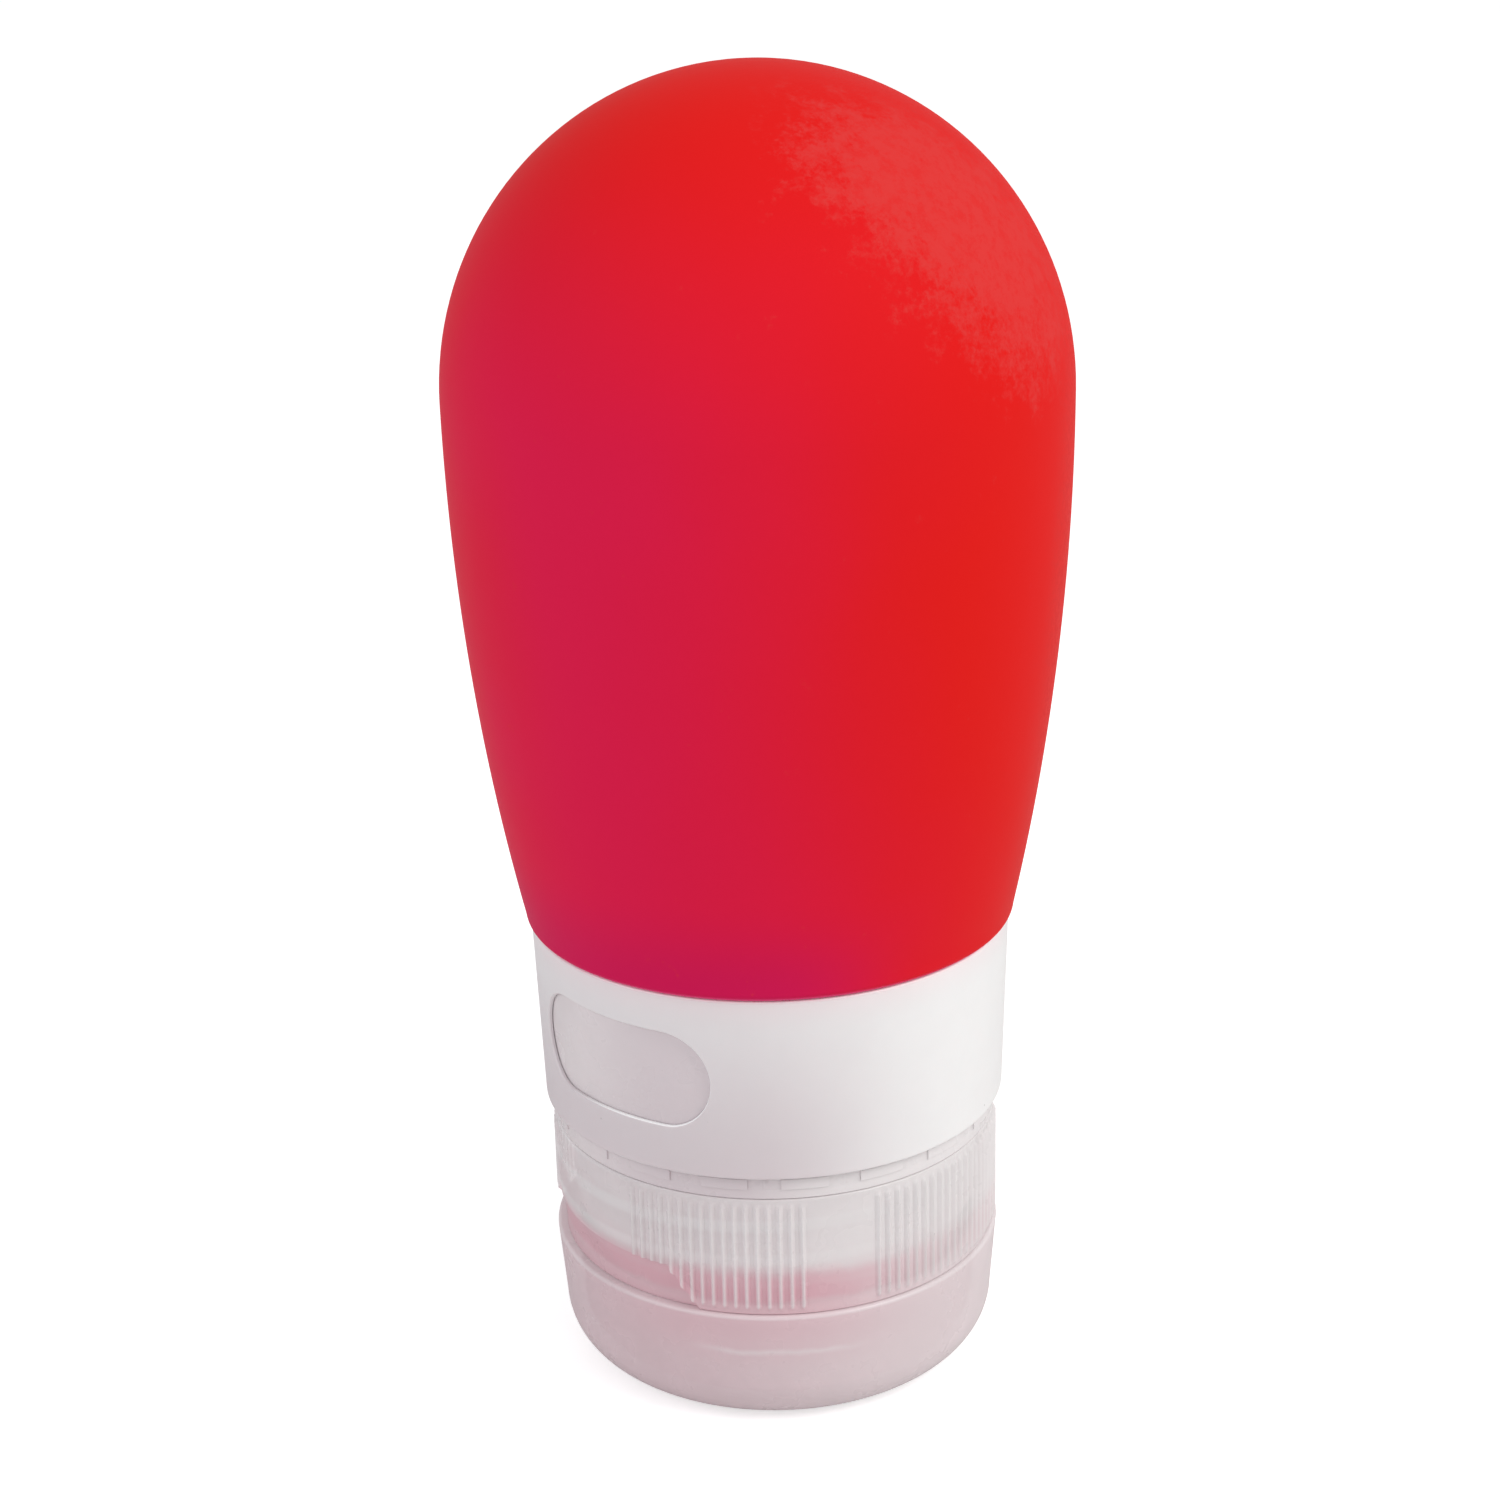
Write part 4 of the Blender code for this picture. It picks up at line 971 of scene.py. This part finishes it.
def make_cap(settings, look):
    """The screw cap: ribbed skirt, female thread, stepped deck with the valve's hole, and plug ring."""
    rib_rows = (0.35 * MM, 0.55 * MM, 0.8 * MM)
    skirt = [(CAP_RADIUS, CAP_LOW + rise, 0.0) for rise in rib_rows]
    skirt += [(CAP_RADIUS, level, 0.0) for _, level in straight((CAP_RADIUS, CAP_LOW + 0.8 * MM),
                                                                  (CAP_RADIUS, CAP_TOP - 0.8 * MM), 12)[1:-1]]
    skirt += [(CAP_RADIUS, CAP_TOP - rise, 0.0) for rise in reversed(rib_rows)]
    plug_top = RETAINER_TOP + 0.9 * MM
    bead_low = RETAINER_TOP + SEAT_GAP
    bead_radius = PLUG_BORE - 0.45 * MM
    small = 0.12 * MM
    outline = rounded([(CAP_BORE, CAP_TOP, small), (CAP_BORE, SLEEVE_LOW, 0.3 * MM),
                       (PLATEAU_BORE, LIP_TOP, small), (PLATEAU_BORE, DECK_TOP, small),
                       (PLUG_RADIUS, DECK_TOP, small), (PLUG_RADIUS, plug_top, 0.3 * MM),
                       (PLUG_BORE, plug_top, small),
                       (bead_radius, (bead_low + plug_top) / 2.0, 0.15 * MM), (PLUG_BORE, bead_low, small),
                       (PLUG_BORE, DECK_TOP, small), (DECK_HOLE_RADIUS, DECK_TOP, small),
                       (DECK_HOLE_RADIUS, DECK_LOW, small), (PLATEAU_RADIUS, DECK_LOW, 0.4 * MM),
                       (PLATEAU_RADIUS, CAP_LOW, 0.2 * MM), (CAP_RADIUS, CAP_LOW, 0.12 * MM)]
                      + skirt + [(CAP_RADIUS, CAP_TOP, 0.15 * MM)])
    cap = turned("ribbed_cap", outline, CAP_STEPS)
    raise_ribs(cap, settings)
    start_turn = 0.25
    half_ridge = 0.9 * MM
    crest = CAP_BORE - 0.95 * MM
    thread_end = RING_LOW - SEAT_GAP - BEAD_HEIGHT - half_ridge
    turns = (thread_end - SEAT_GAP - SLEEVE_LOW) / THREAD_PITCH - start_turn
    ridge = wind_thread("female_ridge", CAP_BORE, crest, 0.5 * MM, SLEEVE_LOW, start_turn, turns)
    combine(cap, ridge, "UNION")
    combine(cap, scoop_block(settings), "DIFFERENCE")
    combine(cap, land_block(), "UNION")
    finish(cap, "screw_cap", look)


def flat_ring(name, inner, outer, low, top, edge):
    """A flat ring with rounded edges."""
    corners = [(inner, low, edge), (outer, low, edge), (outer, top, edge), (inner, top, edge)]
    return turned(name, rounded(corners), SMALL_STEPS)


def make_seal(look):
    """The flat silicone ring between the bottle's lip and the deck."""
    seal = flat_ring("seal_ring", PLUG_RADIUS + RUNNING_GAP, PLATEAU_BORE - SEAT_GAP, SEAL_LOW, SEAL_TOP,
                     0.2 * MM)
    finish(seal, "lip_seal", look)


def make_valve(look):
    """The slit valve: a flange on the deck, a sleeve through its hole and a dished head with a cross cut."""
    outer = DECK_HOLE_RADIUS - SEAT_GAP
    inner = outer - 0.9 * MM
    head_edge = low_of("flow_valve")
    sag = 0.7 * MM
    head = 0.8 * MM
    steps = 14
    under = [(outer * k / steps, head_edge + sag * (1.0 - (k / steps) ** 2)) for k in range(steps + 1)]
    above = [(inner * k / steps, head_edge + sag * (1.0 - (k / steps) ** 2) + head) for k in range(steps + 1)]
    flange_low = DECK_TOP + SEAT_GAP
    flange_top = top_of("flow_valve")
    flange_radius = reach_of("flow_valve")
    edge = 0.2 * MM
    walls = rounded([(*under[-1], 0.15 * MM), (outer, flange_low, edge), (flange_radius, flange_low, edge),
                     (flange_radius, flange_top, edge), (inner, flange_top, edge), (*above[-1], 0.2 * MM)])
    valve = turned("slit_valve", under[:-1] + walls + above[-2::-1], SMALL_STEPS)
    for turn in (0.0, 90.0):
        bpy.ops.object.mode_set(mode="OBJECT")
        bpy.ops.object.select_all(action="DESELECT")
        bpy.ops.mesh.primitive_cube_add(size=1.0, location=(0.0, 0.0, head_edge + sag))
        slit = bpy.context.active_object
        slit.scale = (2.0 * (inner - 1.6 * MM), 0.16 * MM, 4.0 * MM)
        slit.rotation_euler.z = math.radians(turn)
        bpy.ops.object.transform_apply(location=True, rotation=True, scale=True)
        combine(valve, slit, "DIFFERENCE")
    finish(valve, "flow_valve", look)


def make_clip(look):
    """The ring that snaps in over the valve's flange."""
    clip = flat_ring("valve_clip", DECK_HOLE_RADIUS + 0.2 * MM, PLUG_BORE - SEAT_GAP, RETAINER_LOW,
                     RETAINER_TOP, 0.25 * MM)
    finish(clip, "valve_retainer", look)


def lug_block():
    """The thickening of the lid's wall under the hinge, hollowed round the hinge's axis."""
    hollow = 0.7 * MM
    outline = arc((HINGE_RADIUS, HINGE_LEVEL), hollow, -150.0, -105.0, 8)
    face = outline[-1][0]
    foot = HINGE_LEVEL - 3.1 * MM
    slope = 0.7 * MM
    root = 16.9 * MM
    outline += rounded([(face, outline[-1][1], 0.0), (face, foot + slope, 0.3 * MM),
                        (face - slope, foot, 0.3 * MM), (root, foot - slope, 0.0)])[1:]
    outline.append((root, outline[0][1]))
    return prism("lug_block", outline, HINGE_WIDTH)


def make_lid(settings, look):
    """The flip lid: a cup with a rounded foot, a ring inside that seals round the valve, and a hinge lug."""
    foot_radius = LID_RIM_RADIUS - 0.5 * MM
    rim_round = 0.3 * MM
    floor = 1.5 * MM
    cavity_radius = foot_radius - (LID_RIM_RADIUS - LID_BORE)
    ring_top = DECK_LOW - SEAT_GAP
    ring_bore = SEALING_RING_RADIUS - 0.9 * MM
    foot = settings.foot_round
    wall_low = (foot_radius, foot)
    wall_top = (LID_RIM_RADIUS, LID_HEIGHT - rim_round)
    outline = [(0.0, 0.0)]
    outline += arc((foot_radius - foot, foot), foot, -90.0, 0.0, 24)
    outline += straight(wall_low, wall_top, 8)[1:-1]
    outline += arc((LID_RIM_RADIUS - rim_round, LID_HEIGHT - rim_round), rim_round, 0.0, 90.0, 6)
    outline += rounded([(*outline[-1], 0.0), (LID_BORE, LID_HEIGHT, 0.15 * MM),
                        (cavity_radius, floor, 2.8 * MM), (SEALING_RING_RADIUS, floor, 0.3 * MM),
                        (SEALING_RING_RADIUS, ring_top, 0.25 * MM), (ring_bore, ring_top, 0.25 * MM),
                        (ring_bore, floor, 0.3 * MM), (0.0, floor, 0.0)], 8)[1:]
    lid = turned("lid_cup", outline, LID_STEPS)
    combine(lid, lug_block(), "UNION")
    finish(lid, "flip_lid", look)


def make_film(look):
    """The hinge film: a web on the cap's land that runs down into a thin bead on the lid's side."""
    bead = 0.4 * MM
    bevel = 0.1 * MM
    top = top_of("hinge_film")
    opening = math.degrees(math.asin(HALF_FILM / bead))
    outline = arc((HINGE_RADIUS, HINGE_LEVEL), bead, 90.0 + opening, 450.0 - opening, 36)
    outer = HINGE_RADIUS + HALF_FILM
    inner = HINGE_RADIUS - HALF_FILM
    side = straight((outer, outline[-1][1]), (outer, top - bevel), 8)[1:]
    outline += side + [(outer - bevel, top), (inner + bevel, top)]
    outline += [(inner, level) for _, level in reversed(side)]
    film = prism("hinge_strip", outline, HINGE_WIDTH, 6)
    finish(film, "hinge_film", look)


def make_camera(settings):
    """The camera at the photograph's place."""
    pitch = math.radians(19.6)
    yaw = math.radians(-0.34)
    roll = math.radians(-1.49)
    spot = place(math.degrees(settings.azimuth), settings.distance, settings.height)
    bpy.ops.object.camera_add(location=spot)
    camera = bpy.context.active_object
    camera.name = "studio_camera"
    aim = (Matrix.Rotation(settings.azimuth - yaw, 4, "Z") @ Matrix.Rotation(math.pi / 2.0 - pitch, 4, "X")
           @ Matrix.Rotation(roll, 4, "Z"))
    camera.matrix_world = Matrix.Translation(camera.location) @ aim
    camera.data.sensor_width = 36.0
    camera.data.lens = settings.lens
    camera.data.clip_start = 10.0 * MM
    bpy.context.scene.camera = camera


def make_lamp(name, azimuth, elevation, size, power, colour):
    """A soft square lamp, aimed at the bottle's middle from an azimuth and an elevation in degrees."""
    distance = 0.60
    target = Vector((0.0, 0.0, BODY_TOP * 0.45))
    rise = math.radians(elevation)
    spot = place(azimuth, distance * math.cos(rise), target.z + distance * math.sin(rise))
    bpy.ops.object.light_add(type="AREA", location=spot)
    lamp = bpy.context.active_object
    lamp.name = name
    lamp.rotation_euler = (target - spot).to_track_quat("-Z", "Y").to_euler()
    lamp.data.size = size
    lamp.data.energy = power
    lamp.data.color = colour


def make_floor(look):
    """A wide floor, just under the lid."""
    bpy.ops.mesh.primitive_plane_add(size=3.0, location=(0.0, 0.0, -0.02 * MM))
    floor = bpy.context.active_object
    floor.name = "studio_floor"
    bpy.ops.object.transform_apply(location=True, rotation=False, scale=False)
    floor.data.materials.append(look)


def floor_look():
    """A pale matt floor that the camera sees as white but for the bottle's shadow."""
    look = Look("floor_finish")
    grain = look.ramp(look.noise(3.0 * MM, 3.0), 0.3, 0.7)
    seen = look.node("ShaderNodeLightPath", {}, "Is Camera Ray")
    look.set(Base_Color=look.mix(grain, (0.80, 0.80, 0.80), (0.78, 0.78, 0.78)), Roughness=0.8,
             Specular_IOR_Level=0.1, Emission_Color=(1.0, 1.0, 1.0, 1.0),
             Emission_Strength=look.ramp(seen, 0.0, 1.0, 0.0, 0.55))
    return look.material


def white_surroundings(strength):
    """A world that lights evenly from all round, and that the camera sees as white, also through plastic."""
    world = bpy.data.worlds.new("white_surroundings")
    world.use_nodes = True
    nodes = Nodes(world.node_tree)
    light_path = "ShaderNodeLightPath"
    seen = nodes.larger(nodes.node(light_path, {}, "Is Camera Ray"),
                        nodes.node(light_path, {}, "Is Transmission Ray"))
    background = nodes.tree.nodes["Background"]
    nodes.feed(background, "Strength", nodes.ramp(seen, 0.0, 1.0, strength, 1.0))
    nodes.feed(background, "Color", (1.0, 1.0, 1.0, 1.0))
    return world


class BOTTLE_OT_bulb(Operator):
    """Model the silicone bulb"""

    bl_idname = "bottle.bulb"
    bl_label = "Silicone bulb"

    def execute(self, context):
        settings = context.scene.bottle_bulb
        make_bulb(settings, silicone_look(settings))
        return {"FINISHED"}


class BOTTLE_OT_neck(Operator):
    """Model the threaded sleeve round the neck"""

    bl_idname = "bottle.neck"
    bl_label = "Threaded neck"

    def execute(self, context):
        settings = context.scene.bottle_cap
        make_neck(frosted_look("neck_finish", settings, settings.cap_opacity))
        return {"FINISHED"}


class BOTTLE_OT_collar(Operator):
    """Model the white collar with its window"""

    bl_idname = "bottle.collar"
    bl_label = "Window collar"

    def execute(self, context):
        settings = context.scene.bottle_collar
        make_collar(settings, white_look(settings))
        return {"FINISHED"}


class BOTTLE_OT_ring(Operator):
    """Model the content ring with its finger tabs"""

    bl_idname = "bottle.ring"
    bl_label = "Content ring"

    def execute(self, context):
        make_ring(context.scene.bottle_collar, dial_look(context.scene.bottle_cap))
        return {"FINISHED"}


class BOTTLE_OT_cap(Operator):
    """Model the ribbed screw cap"""

    bl_idname = "bottle.cap"
    bl_label = "Screw cap"

    def execute(self, context):
        settings = context.scene.bottle_cap
        make_cap(settings, cap_look(settings))
        return {"FINISHED"}


class BOTTLE_OT_dispenser(Operator):
    """Model the lip seal, the slit valve and the clip that holds it"""

    bl_idname = "bottle.dispenser"
    bl_label = "Seal and valve"

    def execute(self, context):
        scene = context.scene
        make_seal(silicone_look(scene.bottle_bulb))
        make_valve(frosted_look("valve_finish", scene.bottle_cap, 0.7))
        make_clip(white_look(scene.bottle_collar))
        return {"FINISHED"}


class BOTTLE_OT_lid(Operator):
    """Model the flip lid and its hinge film"""

    bl_idname = "bottle.lid"
    bl_label = "Flip lid"

    def execute(self, context):
        settings = context.scene.bottle_cap
        make_lid(settings, lid_look(settings))
        make_film(frosted_look("film_finish", settings, settings.lid_opacity))
        return {"FINISHED"}


class BOTTLE_OT_studio(Operator):
    """Set up the camera, the lamps, the floor and the surroundings"""

    bl_idname = "bottle.studio"
    bl_label = "Studio"

    def execute(self, context):
        settings = context.scene.bottle_studio
        azimuth = math.degrees(settings.azimuth)
        make_camera(settings)
        make_lamp("key_lamp", azimuth + 60.0, 40.0, 0.34, settings.key_power, (1.0, 0.99, 0.97))
        make_lamp("fill_lamp", azimuth - 62.0, 30.0, 0.40, settings.fill_power, (0.93, 0.95, 1.0))
        make_floor(floor_look())
        context.scene.world = white_surroundings(settings.surroundings)
        return {"FINISHED"}


PIECES = (BOTTLE_OT_bulb, BOTTLE_OT_neck, BOTTLE_OT_collar, BOTTLE_OT_ring, BOTTLE_OT_cap,
          BOTTLE_OT_dispenser, BOTTLE_OT_lid, BOTTLE_OT_studio)
SETTINGS = {"bottle_bulb": BulbSettings, "bottle_collar": CollarSettings, "bottle_cap": CapSettings,
            "bottle_studio": StudioSettings}


class BOTTLE_PT_panel(Panel):
    """Lists the bottle's pieces and their sizes"""

    bl_idname = "BOTTLE_PT_panel"
    bl_label = "Squeeze bottle"
    bl_space_type = "VIEW_3D"
    bl_region_type = "UI"
    bl_category = "Bottle"

    def draw(self, context):
        for piece in PIECES:
            self.layout.operator(piece.bl_idname)
        for name, group in SETTINGS.items():
            box = self.layout.box()
            for entry in group.__annotations__:
                box.prop(getattr(context.scene, name), entry)


CLASSES = tuple(SETTINGS.values()) + PIECES + (BOTTLE_PT_panel,)


def register():
    for cls in CLASSES:
        bpy.utils.register_class(cls)
    for name, group in SETTINGS.items():
        setattr(bpy.types.Scene, name, PointerProperty(type=group))


def unregister():
    for name in SETTINGS:
        delattr(bpy.types.Scene, name)
    for cls in reversed(CLASSES):
        bpy.utils.unregister_class(cls)


def main():
    register()
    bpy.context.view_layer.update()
    bpy.ops.bottle.bulb()
    bpy.ops.bottle.neck()
    bpy.ops.bottle.collar()
    bpy.ops.bottle.ring()
    bpy.ops.bottle.cap()
    bpy.ops.bottle.dispenser()
    bpy.ops.bottle.lid()
    bpy.ops.bottle.studio()
    bpy.context.scene.view_settings.view_transform = "Standard"


if __name__ == "__main__":
    main()
